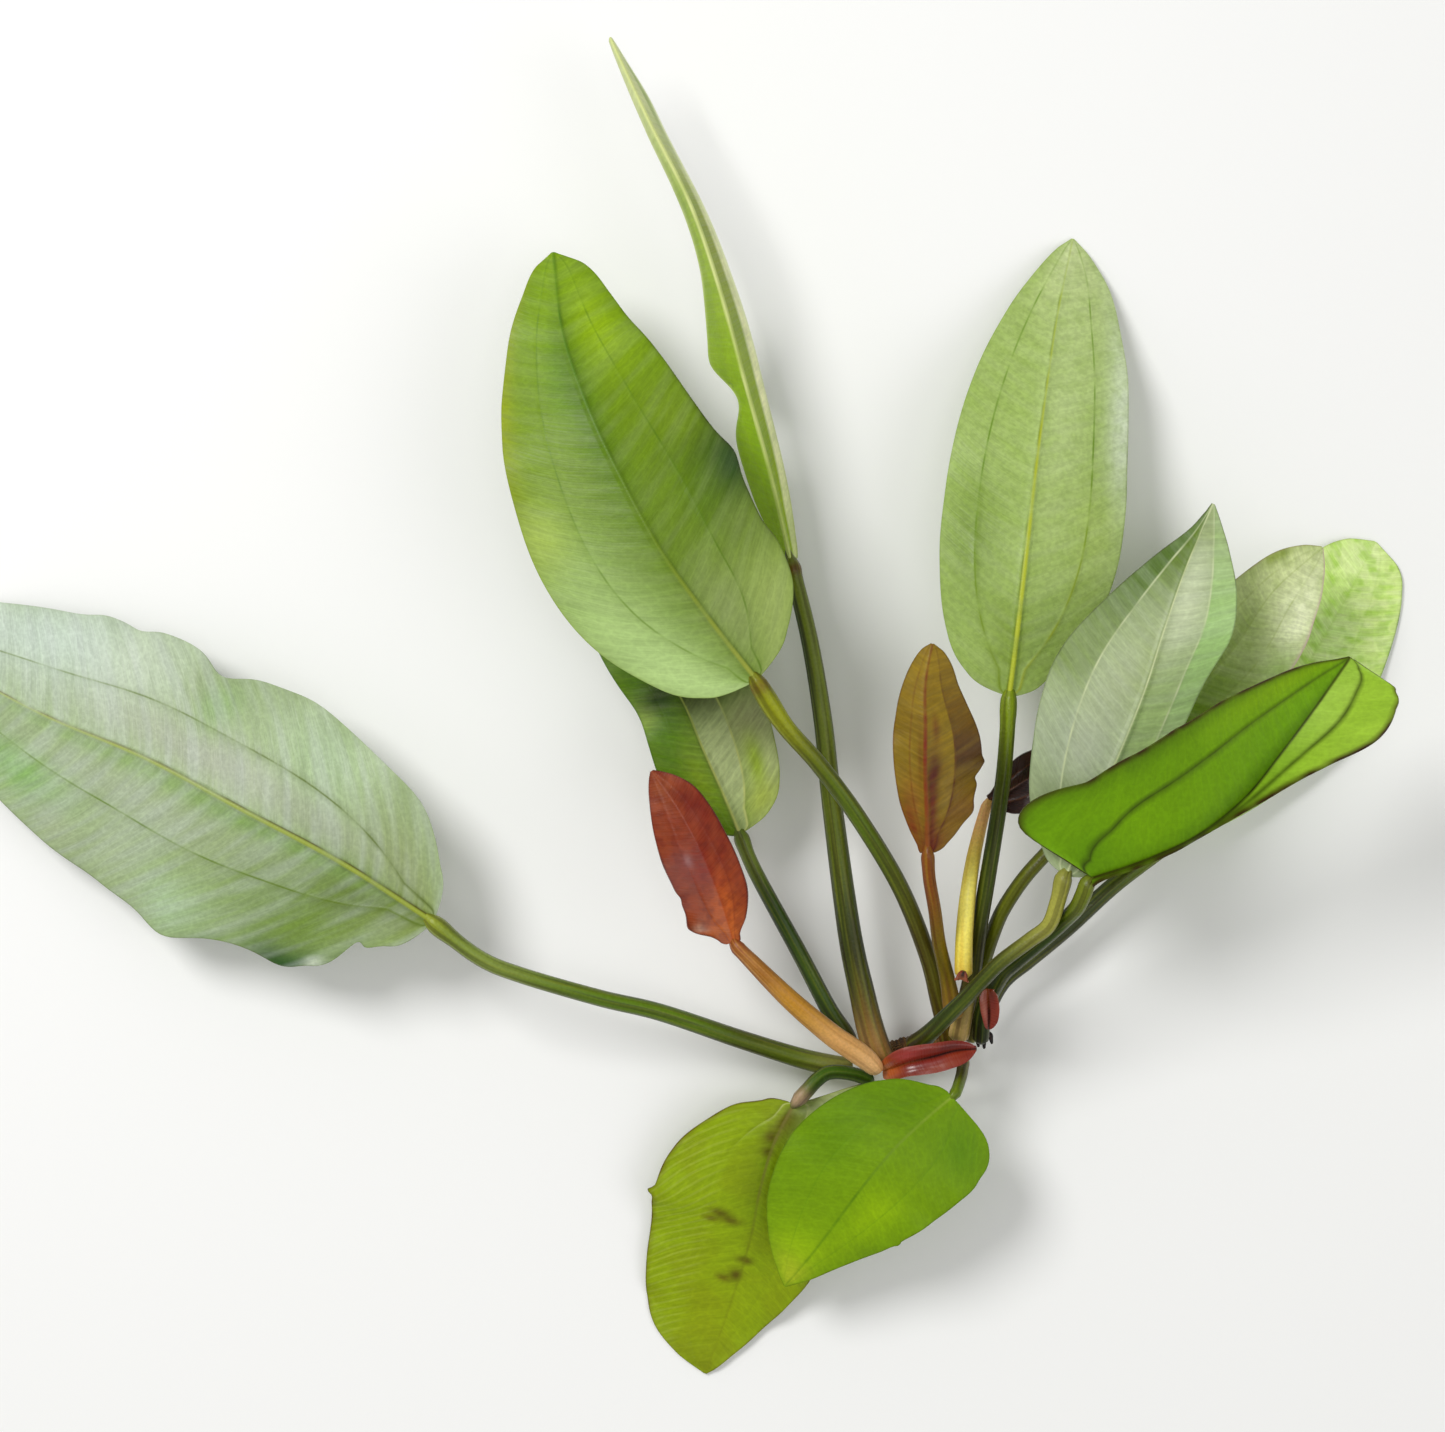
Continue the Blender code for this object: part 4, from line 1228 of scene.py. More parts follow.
def blades() -> dict[str, Blade]:
    """The blades, by the name of their leaf."""
    leaf: dict[str, Blade] = {}
    leaf["left"] = Blade(
        "blade_left", "leaf_silvery", SILVERY, "#9BAF7C",
        ((-43.3, -45.3, 26), (-63.5, -32.5, 25), (-85.5, -21, 23), (-108.5, -9.5, 16.5),
         (-132.5, 0, 9.5), (-156, 11.5, 2.8), (-179.5, 23, 0.3)),
        ((10.2, 22.5, 28, 31.5, 28.8, 20.5, 13.5, 7, 2.6),
         (11.5, 20.5, 26.5, 27.4, 27.2, 23.4, 17.4, 10.6, 4.2)), ((-6, -10, -2), (-4, -6, -2)),
        sweep=(0, 2), wave=(1.6, 3.2, 0.1), veins=(0.46, 0.48),
        midrib=Line(("#98A440", "#A0AE54", "#AEBA76"), (0.95, 0.8, 0.5), (0.4, 0.26, 0.16)),
        side_veins=(Line(("#64782C", "#748F48"), (0.85, 0.65, 0.45), (0.3, 0.2, 0.15), 0.25),
                    Line(("#5E6E30", "#74884C"), (0.85, 0.7, 0.5), (0.28, 0.2, 0.16), 0.25)),
        rims=(Line(("#5F6A3A", "#6E7A5A", "#6B6A50"), (0.4, 0.6, 0.6), (0.25, 0.3, 0.3)),
              Line(("#93A37C", "#A3B096"), (0.4, 0.4, 0.3), (0.3, 0.3, 0.3))),
        rib_shade_lines=(NO_LINE,
                 Line(("#565024", "#6E683C"), (0.85, 0.75, 0.55), (0.22, 0.2, 0.14), 0.3)),
        pleat_mm=0.06,
        tints=rows(
            # The first patch here is painted sheen on the right outer band
            Tint, (0.72, -0.7, 0.2, 0.5, "#C2D1C2", 0.9), (0.55, -0.7, 0.06, 0.4, "#BECAB2", 0.7),
            (0.95, 0, 0.14, 1, "#BCCBB0", 0.7), (0.38, -0.25, 0.22, 0.2, "#A9AF9A", 0.85),
            (0.2, -0.22, 0.08, 0.14, "#9DA58A", 0.7), (0.46, -0.75, 0.022, 0.3, "#9BA982", 0.6),
            (0.42, -0.72, 0.03, 0.2, "#8AAA6A", 0.7), (0.24, -0.7, 0.09, 0.35, "#AEC59A"),
            (0.12, -0.6, 0.06, 0.3, "#98A978", 0.7), (0.5, 0.3, 0.26, 0.14, "#A9B596"),
            (0.28, 0.3, 0.1, 0.12, "#9DAC82", 0.7), (0.5, 0.7, 0.1, 0.3, "#AABA92"),
            (0.17, 0.6, 0.15, 0.45, "#7A9448", 0.95), (0.36, 0.82, 0.06, 0.2, "#AAC49A", 0.7),
            (0.66, 0.62, 0.075, 0.22, "#86B260", 0.9), (0.6, 0.8, 0.05, 0.2, "#A3A892", 0.5),
            (0.03, 0.1, 0.07, 0.7, "#7C8C3E", 0.9), (0.1, 0.2, 0.09, 0.28, "#687E38", 0.9),
            (0.08, -0.4, 0.05, 0.25, "#93A070", 0.7), (0.3, 0.07, 0.2, 0.06, "#7F9E56", 0.9),
            # The last patch here is painted shade on the edge that curls down near the base, and
            # the first on the next line is a painted glint on that edge
            (0.55, 0.07, 0.18, 0.05, "#93AE70"), (0.16, 1, 0.065, 0.15, "#3A5E10", 1),
            (0.115, 0.96, 0.016, 0.05, "#E4ECD8"), (0.29, 1, 0.03, 0.05, "#6F8F46", 0.7)),
        curls=rows(
            Curl, (0.025, LEFT, 0.02, 0, 1.2), (0.074, LEFT, 0.011, 0, -3.2),
            (0.1, LEFT, 0.02, 0, 1.2), (0.16, LEFT, 0.045, -3, 2.3), (0.35, LEFT, 0.05, -1.5, 3),
            (0.1, RIGHT, 0.05, 0, 1.2), (0.3, RIGHT, 0.06, 0, 1.2),
            (0.435, RIGHT, 0.035, 1.5, -3.4), (0.575, RIGHT, 0.02, 0, -1),
            (0.635, RIGHT, 0.03, 0.8, 0.8)))
    leaf["upper_left"] = Blade(
        "blade_upper_left", "leaf_pale", PALE, "#6C8630",
        ((28.2, 7.9, 45), (18, 21, 46), (8, 35, 46.5), (-0.5, 50.5, 44.5), (-8, 66.5, 41),
         (-14, 84, 34), (-16.5, 102.5, 26)),
        ((12.2, 18.8, 24.1, 25.4, 23, 18.4, 12.5, 7.7, 4.4),
         (12.3, 20, 22, 23.3, 21.9, 19, 15.3, 11.2, 6.7)), ((-6, -12, -8),) * 2, wave=(1, 3, 0.3),
        veins=(0.55, 0.52),
        # The midrib darkens towards the tip: its dark upper half is painted shadow
        midrib=Line(("#9CA24C", "#6F8634", "#587C1C", "#587C1C"), (0.95, 0.75, 0.6),
                    (0.36, 0.22, 0.24), 0.2),
        side_veins=(Line(("#6F8A3C", "#5A7A20"), (0.6, 0.45, 0.3), (0.2, 0.16, 0.14), 0.3),
                    Line(("#5F7A30", "#5A7A20"), (0.65, 0.45, 0.3), (0.2, 0.16, 0.14), 0.3)),
        rims=(Line(("#7A8A3A", "#8A8E1C"), (0.4, 0.4, 0.3), (0.3, 0.3, 0.3)),
              Line(("#4F5E2A", "#3A3A18", "#4F5E1A"), (0.5, 0.7, 0.4), (0.3, 0.4, 0.3))),
        rib_shade_lines=(NO_LINE, Line(("#55662A", "#4F6A20"), (0.5, 0.5, 0.4), (0.22, 0.22, 0.3), 0.2)),
        tints=rows(
            Tint, (1, 0, 0.38, 1.6, "#83A30E", 0.98), (0.82, -0.5, 0.1, 0.3, "#98B82E"),
            # First here: painted sheen on the lower left
            (0.1, 0.75, 0.3, 0.5, "#B4CF88", 0.98), (0.62, 0.75, 0.12, 0.3, "#7A9612", 0.9),
            (0.45, 0.85, 0.07, 0.25, "#A8BE62"), (0.72, 0.2, 0.1, 0.25, "#6C900C"),
            (0.08, -0.75, 0.16, 0.5, "#9CAD66", 0.9), (0.15, -0.2, 0.12, 0.25, "#8C9A64", 0.7),
            # Last here: painted shade along the right edge
            (0.32, -0.1, 0.1, 0.2, "#68802C", 0.6), (0.42, -0.95, 0.11, 0.36, "#364A00", 0.98),
            (0.36, -0.6, 0.1, 0.2, "#5F7A26", 0.6), (0.27, -0.8, 0.06, 0.22, "#76884A", 0.6),
            (0.56, -0.75, 0.08, 0.25, "#7C953A", 0.7), (0.7, 1, 0.2, 0.16, "#98A416", 0.7),
            # Painted shadow along the midrib's upper half
            (0.64, 0.05, 0.24, 0.18, "#5C7A10", 0.85)),
        curls=rows(Curl, (0.43, RIGHT, 0.045, 0.6, 1.3), (0.2, RIGHT, 0.03, -0.4, 0.5)))
    leaf["tall"] = Blade(
        "blade_tall", "leaf_green", FRESH, "#A4BC48",
        ((36.2, 34.4, 21), (31.5, 54, 25), (26, 73.5, 28.5), (20.5, 93.5, 30), (14, 112.5, 30),
         (5, 131, 27.5), (-4, 151, 22)),
        ((2.6, 4.5, 5.2, 5.3, 2.4, 1.6, 1.2, 0.9, 0.6),
         (2.4, 3.2, 3.8, 4.3, 3.7, 2.8, 2.8, 2.7, 1.2)), ((-62, -73, -76), (-60, -72, -76)),
        wave=(0.5, 2, 0), veins=(0.5, 0.6),
        midrib=Line(("#C8D480", "#DDE59A", "#DDE59A"), (0.7, 0.9, 0.8), (0.25, 0.24, 0.2)),
        side_veins=(NO_LINE,) * 2,
        rims=(Line(("#8FAE3A", "#D5DF9A", "#D0D8A7"), (0.2, 0.7, 0.8), (0.3, 0.3, 0.3)),
              Line(("#8A9A3A", "#F4FAC8", "#F4FAC8"), (0.5, 0.95, 0.95), (0.3, 0.5, 0.4))),
        pleat_mm=0.03, tints=rows(Tint, (0.9, 0, 0.18, 2, "#DCE4A4", 0.9)),
        panels=rows(
            Panel, (LEFT, True, 0.2, 0.34, "#98BC12", 0.98),
            (LEFT, False, 0.2, 0.34, "#98BC12", 0.98), (LEFT, True, 0.62, 0.14, "#8FA83C"),
            (RIGHT, False, 0.2, 0.34, "#96B020", 0.95), (RIGHT, False, 0.6, 0.2, "#94A234", 0.9),
            (RIGHT, True, 0.36, 0.4, "#FAFCC4", 0.98), (RIGHT, True, 0.9, 0.14, "#98B04C", 0.9),
            (RIGHT, False, 0.9, 0.14, "#D4DC98")),
        curls=rows(Curl, (0.3, LEFT, 0.05, 0, -3.2), (0.38, LEFT, 0.03, 0, 0.6)))
    leaf["upper_right"] = Blade(
        "blade_upper_right", "leaf_pale", SPECKLED, "#A0B966",
        ((84, 4.6, 31), (86, 21.5, 32), (88, 38, 31), (90.5, 55.5, 25.5), (93.5, 73, 18),
         (97, 91, 9), (101.5, 109.5, 0.2)),
        ((10.4, 15.6, 18.6, 19, 18.1, 15.1, 10.9, 6.6, 3.1),
         (8.2, 15.6, 20.1, 21.2, 20.3, 18.2, 14.8, 10.7, 4.8)), ((-8, -10, -4),) * 2,
        wave=(0.9, 2.5, 0.6), veins=(0.63, 0.63),
        midrib=Line(("#BCC440", "#B0B83C", "#A4B858"), (1, 0.85, 0.5), (0.42, 0.24, 0.14), 0.2),
        side_veins=(Line(("#7A9020", "#6A8A2C", "#7F9C48"), (0.9, 0.75, 0.5), (0.3, 0.2, 0.14),
                         0.35),
                    Line(("#A4B048", "#6A8A2C", "#7F9C48"), (0.9, 0.75, 0.5), (0.3, 0.2, 0.14),
                         0.35)),
        rims=(Line(("#6F7F48", "#8A9C5A"), (0.4, 0.35, 0.3), (0.25, 0.25, 0.25)),
              Line(("#6F7F4A", "#5F6E44", "#B5C29A"), (0.5, 0.6, 0.4), (0.25, 0.25, 0.25))),
        rib_shade_lines=(Line(("#6A7A20", "#7A8C34"), (0.6, 0.5, 0.2), (0.2, 0.16, 0.12), 0.4), NO_LINE),
        tints=rows(
            Tint, (0.95, -0.1, 0.14, 0.8, "#D0DCA4", 0.9), (0.8, -0.35, 0.16, 0.5, "#B6CA84", 0.7),
            (0.57, -0.25, 0.2, 0.3, "#BCD08C", 0.85), (0.6, -0.95, 0.24, 0.2, "#D2DEC0", 0.95),
            (0.34, -0.75, 0.12, 0.3, "#A6BC68", 0.7), (0.35, -0.3, 0.1, 0.25, "#AABE78", 0.6),
            (0.3, 0.65, 0.15, 0.35, "#78923E", 0.85), (0.12, 0.85, 0.1, 0.3, "#9AB460", 0.7),
            (0.09, 0.1, 0.1, 0.35, "#7A9338", 0.85), (0.13, -0.35, 0.07, 0.2, "#8CA45C", 0.6)))
    leaf["tucked"] = Blade(
        "blade_tucked", "leaf_dark", SHADED, "#6E8830",
        ((24.9, -26.2, 19), (21, -17, 20), (16.5, -7, 21.5), (12.5, 2.5, 21), (7, 11.5, 19),
         (0.5, 20, 17), (-6.5, 28.5, 15)),
        ((4.5, 8.8, 11.4, 11, 10.2, 10.4, 9.4, 7.6, 4.4),
         (8.9, 13, 15.6, 16.6, 15.2, 12, 9, 6.3, 3)), ((-8, -8, -8), (-10, -10, -8)),
        wave=(0.8, 2.5, 0.2), veins=(0.5, 0.45),
        midrib=Line(("#B0B46C", "#989E58", "#8FA040"), (0.95, 0.85, 0.6), (0.24, 0.18, 0.16)),
        side_veins=(NO_LINE,
                    Line(("#C0C67C", "#96A050"), (0.95, 0.65, 0.35), (0.2, 0.17, 0.13), 0.2)),
        rims=(Line(("#3F5A12",), (0.5, 0.5, 0.4), (0.3, 0.3, 0.3)),
              Line(("#6A7A2C", "#6F8A2C"), (0.6, 0.6, 0.5), (0.25, 0.25, 0.2))),
        rib_shade_lines=(Line(("#4A5E14", "#44580F"), (0.5, 0.5, 0.5), (0.2, 0.2, 0.2)), NO_LINE),
        tints=rows(
            Tint, (0.5, 0.6, 0.8, 0.62, "#58780E", 0.95), (0.05, 0.5, 0.12, 0.6, "#66861A", 0.7),
            # Second here: a painted highlight along the left edge
            (0.23, 0.3, 0.12, 0.25, "#7C9438"), (0.52, 0.9, 0.06, 0.3, "#9CB45C"),
            (0.2, -0.8, 0.22, 0.5, "#C2CE90", 0.95), (0.36, -0.75, 0.1, 0.5, "#A4A87A", 0.85),
            (0.2, -0.64, 0.1, 0.14, "#9AB42C", 0.85), (0.08, -0.7, 0.06, 0.4, "#A4B24C", 0.7),
            # Painted shadow cast by the upper left leaf's edge, on both halves
            (0.56, 0.4, 0.06, 0.6, "#2A380C"), (0.49, -0.4, 0.05, 0.5, "#3A4420")),
        panels=rows(
            Panel, (RIGHT, False, 0.26, 0.34, "#ACB884", 0.94),
            # Painted shadow of the upper left leaf over the top of the middle panel
            (RIGHT, False, 0.52, 0.09, "#464E2C", 0.85)))
    leaf["rust"] = Blade(
        "blade_rust", "leaf_rust", RUST, "#884332",
        ((23.4, -49.6, 31), (21, -41.5, 33), (18, -33.5, 35), (14.5, -26, 36), (10.5, -19, 36),
         (5.5, -12, 36)),
        ((3.4, 7.4, 8.2, 8.6, 8.6, 7.4, 5.6, 3.5, 1.6),
         (2, 4.2, 6.3, 6.8, 6.7, 6.4, 5.6, 3.7, 1.7)), ((12, 14, 8),) * 2, wave=(0.5, 2, 0),
        shown=Shown.UPPER, rib_mm=(0.5, 0.35, 0.1), vein_mm=0.12,
        midrib=Line(("#B4582C", "#84382A", "#A0604A"), (0.5, 0.4, 0.5), (0.3, 0.25, 0.2)),
        side_veins=(Line(("#6A2418", "#6A2A20"), (0.4, 0.2, 0.1), (0.2, 0.2, 0.15)),) * 2,
        rims=(Line(("#5A1C18",), (0.6, 0.6, 0.6), (0.22, 0.22, 0.22)),
              Line(("#5A1C18",), (0.7, 0.8, 0.8), (0.3, 0.3, 0.25))), pleat_mm=0.015,
        pleat_pitch_mm=1.9, rows_per_mm=3,
        tints=rows(
            Tint, (0, 0, 0.16, 1.2, "#C87440", 0.9), (0.2, -0.1, 0.16, 0.4, "#BE6438", 0.9),
            # Second here and first on the next line: painted highlights
            (0.34, -0.2, 0.06, 0.2, "#B0583A", 0.7), (0.5, 0.4, 0.035, 0.1, "#C8B0B0", 0.5),
            (0.13, 0.8, 0.03, 0.14, "#D0A890", 0.7), (0.42, 0.1, 0.12, 0.3, "#84342A", 0.6),
            (0.5, 0.55, 0.1, 0.25, "#7A3A3A", 0.6), (0.72, -0.6, 0.2, 0.5, "#76362E", 0.7),
            (0.92, 0.1, 0.12, 0.7, "#96553A"), (0.66, 0.75, 0.14, 0.25, "#94503A", 0.6)),
        curls=rows(
            Curl, (0.17, LEFT, 0.05, 1.5, 0.5), (0.08, LEFT, 0.03, 0.5, -0.8),
            (0.33, LEFT, 0.03, 0, -0.4)))
    leaf["olive"] = Blade(
        "blade_olive", "leaf_olive", OLIVE, "#86702A",
        ((65.4, -29.6, 41), (65, -21, 43.5), (64.5, -11.5, 46), (64.5, -2.5, 47), (64.5, 6.5, 47),
         (66, 15.5, 47)),
        ((2.2, 3.8, 5.6, 6.5, 6.8, 6, 4.6, 3.3, 1.9),
         (4.4, 7.6, 10.6, 12.2, 12, 9.4, 7.2, 5.3, 2.9)), ((-8, -10, -6), (-12, -14, -8)),
        wave=(0.5, 2, 0.4), veins=(0.5, 0.55), rib_mm=(0.5, 0.3, 0.1), vein_mm=0.12,
        midrib=Line(("#8E5A38", "#7E3A2A", "#74441E"), (0.9, 0.85, 0.6), (0.4, 0.34, 0.18)),
        side_veins=(Line(("#7A4A24", "#6E4A1A"), (0.5, 0.4, 0.25), (0.16, 0.14, 0.12), 0.2),
                    Line(("#5A2A20", "#5E4618"), (0.7, 0.6, 0.3), (0.24, 0.2, 0.14), 0.2)),
        rims=(Line(("#6A2E1A", "#4A3214"), (0.7, 0.5, 0.5), (0.25, 0.2, 0.2)),
              Line(("#4A2A18", "#3A2A14"), (0.6, 0.6, 0.7), (0.25, 0.25, 0.25))), rows_per_mm=3,
        tints=rows(
            Tint, (0.92, 0, 0.2, 1, "#9A8032"), (0.66, 0.4, 0.16, 0.5, "#8C7430", 0.7),
            (0.26, 0.5, 0.12, 0.4, "#966A3C"), (0.3, -0.45, 0.1, 0.16, "#8C7440", 0.7),
            (0.14, 0.75, 0.1, 0.3, "#7A3420", 0.85), (0, 0, 0.1, 1.2, "#74401E", 0.9),
            (0.4, -0.16, 0.1, 0.12, "#55200F", 0.95), (0.32, -0.12, 0.1, 0.1, "#5A2414", 0.9),
            (0.06, -0.1, 0.09, 0.35, "#6A2C14", 0.9), (0.45, 0.14, 0.14, 0.1, "#74502C", 0.7),
            (0.2, -0.12, 0.14, 0.1, "#6A2E1A", 0.85), (0.6, -0.2, 0.06, 0.07, "#6A3A1C", 0.7)),
        panels=rows(
            Panel, (RIGHT, True, 0.5, 0.16, "#4E3810", 0.9),
            (RIGHT, True, 0.7, 0.14, "#6E5416", 0.7), (RIGHT, True, 0.2, 0.1, "#7A5626", 0.7)),
        curls=rows(
            Curl, (0.18, RIGHT, 0.04, 0.5, 1), (0.345, RIGHT, 0.03, 0, -0.9),
            (0.43, RIGHT, 0.03, -0.5, 0.7)))
    leaf["pointed"] = Blade(
        "blade_pointed", "leaf_silvery", POINTED, "#AAB98A",
        ((95.2, -34.2, 42), (100.5, -21, 43), (106.5, -8, 43.5), (112, 5.5, 43), (116.5, 19, 42),
         (121.5, 32.5, 40.5), (127.5, 46, 39)),
        ((6.9, 12.3, 17.4, 20, 19.4, 13.3, 7.4, 2.8, 1),
         (6.9, 9.8, 10.6, 10.6, 11.9, 14.5, 12.2, 7.4, 2.9)), ((-6, -8, -4),) * 2,
        wave=(0.8, 2.5, 0.5), veins=(0.6, 0.62), midrib=WHITE_VEIN, side_veins=(FINE_VEIN,) * 2,
        rims=(Line(("#6F7F58", "#4A4A34"), (0.5, 0.7, 0.7), (0.22, 0.25, 0.22)),
              Line(("#8FA070", "#4A4A34"), (0.4, 0.6, 0.7), (0.22, 0.22, 0.22))),
        rib_shade_lines=(Line(("#7A8A5A", "#5F7A34"), (0.4, 0.4, 0.5), (0.15, 0.15, 0.15)), NO_LINE),
        tints=rows(
            Tint, (0.3, 0.35, 0.14, 0.4, "#B6BFA2", 0.9), (0.5, 0.25, 0.1, 0.25, "#AFBA92", 0.7),
            (0.57, 0, 0.12, 0.14, "#93A464"), (0.55, -0.35, 0.12, 0.2, "#A6BC80", 0.7),
            # First here: a painted highlight right of the midrib
            (0.74, -0.2, 0.16, 0.3, "#CED8B2", 0.9), (0.95, -0.2, 0.06, 0.6, "#9AAA72"),
            (0.12, 0.4, 0.1, 0.6, "#808F5C", 0.7)),
        panels=rows(
            Panel, (LEFT, True, 0.84, 0.28, "#587210", 0.98),
            (LEFT, True, 0.54, 0.12, "#7F9452", 0.85), (LEFT, True, 0.3, 0.12, "#A3AF90", 0.6),
            (LEFT, False, 0.88, 0.17, "#647C1C", 0.97), (RIGHT, True, 0.68, 0.26, "#A8CC80", 0.95),
            (RIGHT, False, 0.42, 0.14, "#A4BC78")))
    leaf["far_right"] = Blade(
        "blade_far_right", "leaf_olive", DULL, "#BAC986",
        ((93.8, -29.2, 27), (103.5, -18.5, 28), (114, -7.5, 29), (123.5, 4, 29), (134, 15, 27),
         (143, 27.5, 24.5), (154.5, 37.5, 22)),
        ((4.4, 8.2, 11.7, 13.6, 13, 10.8, 7.6, 5.7, 3),
         (4, 7.2, 9.2, 10.6, 12.2, 13.5, 12.4, 9, 4.2)), ((-4, -6, -4), (-6, -8, -6)),
        wave=(0.7, 2.5, 0.2),
        midrib=Line(("#8FA050", "#98A860"), (0.6, 0.5, 0.4), (0.25, 0.2, 0.16)),
        side_veins=(Line(("#8FA04A",), (0.4, 0.3, 0.2), (0.16, 0.14, 0.12), 0.3),) * 2,
        rims=(Line(("#7A7048", "#8A7A60"), (0.6, 0.6, 0.7), (0.35, 0.35, 0.3)),
              Line(("#C4B8A0", "#C0A0A0"), (0.8, 0.9, 0.9), (0.4, 0.4, 0.4))),
        tints=rows(
            Tint, (0.92, 0.1, 0.1, 0.8, "#D2DCA2", 0.85),
            (0.82, -0.65, 0.14, 0.45, "#F2F8CE", 0.95), (0.9, 0.85, 0.05, 0.25, "#7E9030"),
            (0.72, 0, 0.07, 0.5, "#A2B66A", 0.7), (0.5, -0.3, 0.17, 0.9, "#7C9A2E", 0.95),
            (0.68, -0.85, 0.06, 0.3, "#8FB05A", 0.7)))
    leaf["lime"] = Blade(
        "blade_lime", "leaf_lime", LIME, "#CBEA82",
        ((122.3, -28.7, 10), (131, -18.5, 10), (139.5, -7.5, 10), (148.5, 3.5, 9),
         (156.5, 15.5, 6.5), (164, 27.5, 3), (171, 40, 0.4)),
        ((2.8, 6.8, 11, 14.2, 15.4, 15, 13.4, 10.4, 6),
         (2.2, 6.4, 11.4, 15.6, 17.4, 16.5, 14.2, 11.2, 7.4)), ((-2, -4, 0), (-14, -16, -4)),
        wave=(0.5, 2.5, 0), shown=Shown.UPPER,
        midrib=Line(("#8FBA2C", "#A4CE4A"), (0.4, 0.3, 0.2), (0.4, 0.3, 0.2)),
        side_veins=(Line(("#93C030",), (0.3, 0.2, 0.1), (0.3, 0.3, 0.2)),) * 2,
        rims=(Line(("#6A7A2A", "#7A8A3A"), (0.4, 0.4, 0.5), (0.25, 0.25, 0.3)),
              Line(("#4F7A2A", "#4A6A1A"), (0.4, 0.6, 0.7), (0.3, 0.3, 0.3))), pleat_mm=0.06,
        tints=rows(
            Tint, (0.97, 0.1, 0.1, 0.8, "#E0F0AE"), (0.84, -0.7, 0.14, 0.4, "#D8F08C"),
            (0.72, 0.1, 0.1, 0.6, "#C0E486")))
    leaf["front_right"] = Blade(
        "blade_front_right", "leaf_green", FRESH, "#76A20A",
        ((100.3, -34.9, 46), (111, -31, 49), (122, -25.5, 52), (132, -17.5, 53), (140, -7.5, 53.5),
         (147.5, 2.5, 53), (155, 12.5, 50)),
        ((18.4, 20.6, 22.3, 22.4, 21, 16.2, 10.9, 6.1, 2.2),
         (0.9, 0.8, 0.7, 0.9, 3.2, 8, 12.8, 12.8, 10.4)), ((22, 26, 12), (50, 58, 24)),
        sweep=(21, 0), wave=(0.6, 2, 0.3), shown=Shown.UPPER, veins=(0.6, 0.5),
        rib_mm=(0.9, 0.6, 0.2), vein_mm=0.2,
        midrib=Line(("#4A4A14", "#3E4210", "#4A4A10"), (0.95, 0.85, 0.8), (0.5, 0.45, 0.4), 0.04),
        side_veins=(Line(("#46520C", "#4E5A10"), (0.9, 0.8, 0.6), (0.5, 0.46, 0.36), 0.04),
                    Line(("#46520C", "#4E5A10"), (0.3, 0.75, 0.85), (0.35, 0.45, 0.45), 0.04)),
        rims=(BROWN_EDGE,) * 2, pleat_mm=0.03,
        tints=rows(
            Tint, (0.82, 0.85, 0.24, 0.3, "#8CB01C"), (0.25, 0.45, 0.2, 0.3, "#7CA80E", 0.7),
            (0.04, 0.25, 0.08, 0.3, "#648C10", 0.7), (0.6, 0.05, 0.5, 0.1, "#5A7C0A"),
            (0.45, 0.95, 0.6, 0.1, "#5E7C0C", 0.7)),
        panels=rows(
            Panel, (RIGHT, True, 0.8, 0.4, "#A2C64A", 0.95),
            (RIGHT, False, 0.85, 0.26, "#A6C856", 0.95), (RIGHT, False, 0.5, 0.16, "#88AC3C")),
        curls=rows(Curl, (0.985, RIGHT, 0.012, 0, 3)))
    leaf["young"] = Blade(
        "blade_young", "leaf_rust", BUD, "#45201A",
        ((80.7, -19.2, 21), (86.5, -15.6, 21), (92.5, -11.8, 21.5), (98.5, -8, 21.5),
         (104, -4.6, 21)),
        ((1.8, 2.9, 4.6, 5.4, 4.8, 4.2, 3.3, 2.3, 1.3),
         (3, 5.1, 6.4, 6.6, 6.4, 5.2, 3.8, 2.5, 1.3)), ((10, 12, 8),) * 2, wave=(0.3, 2, 0),
        shown=Shown.UPPER, rib_mm=(0.4, 0.3, 0.1), vein_mm=0.1,
        midrib=Line(("#94604C", "#7A4A3A"), (0.8, 0.7, 0.4), (0.25, 0.2, 0.15), 0.3),
        side_veins=(Line(("#7A4A3A",), (0.8, 0.7, 0.4), (0.2, 0.2, 0.15), 0.3),
                    Line(("#94604C", "#7A4A3A"), (0.8, 0.7, 0.4), (0.2, 0.2, 0.15), 0.3)),
        rims=(DARK_EDGE,) * 2, lean=0.9, rows_per_mm=3)
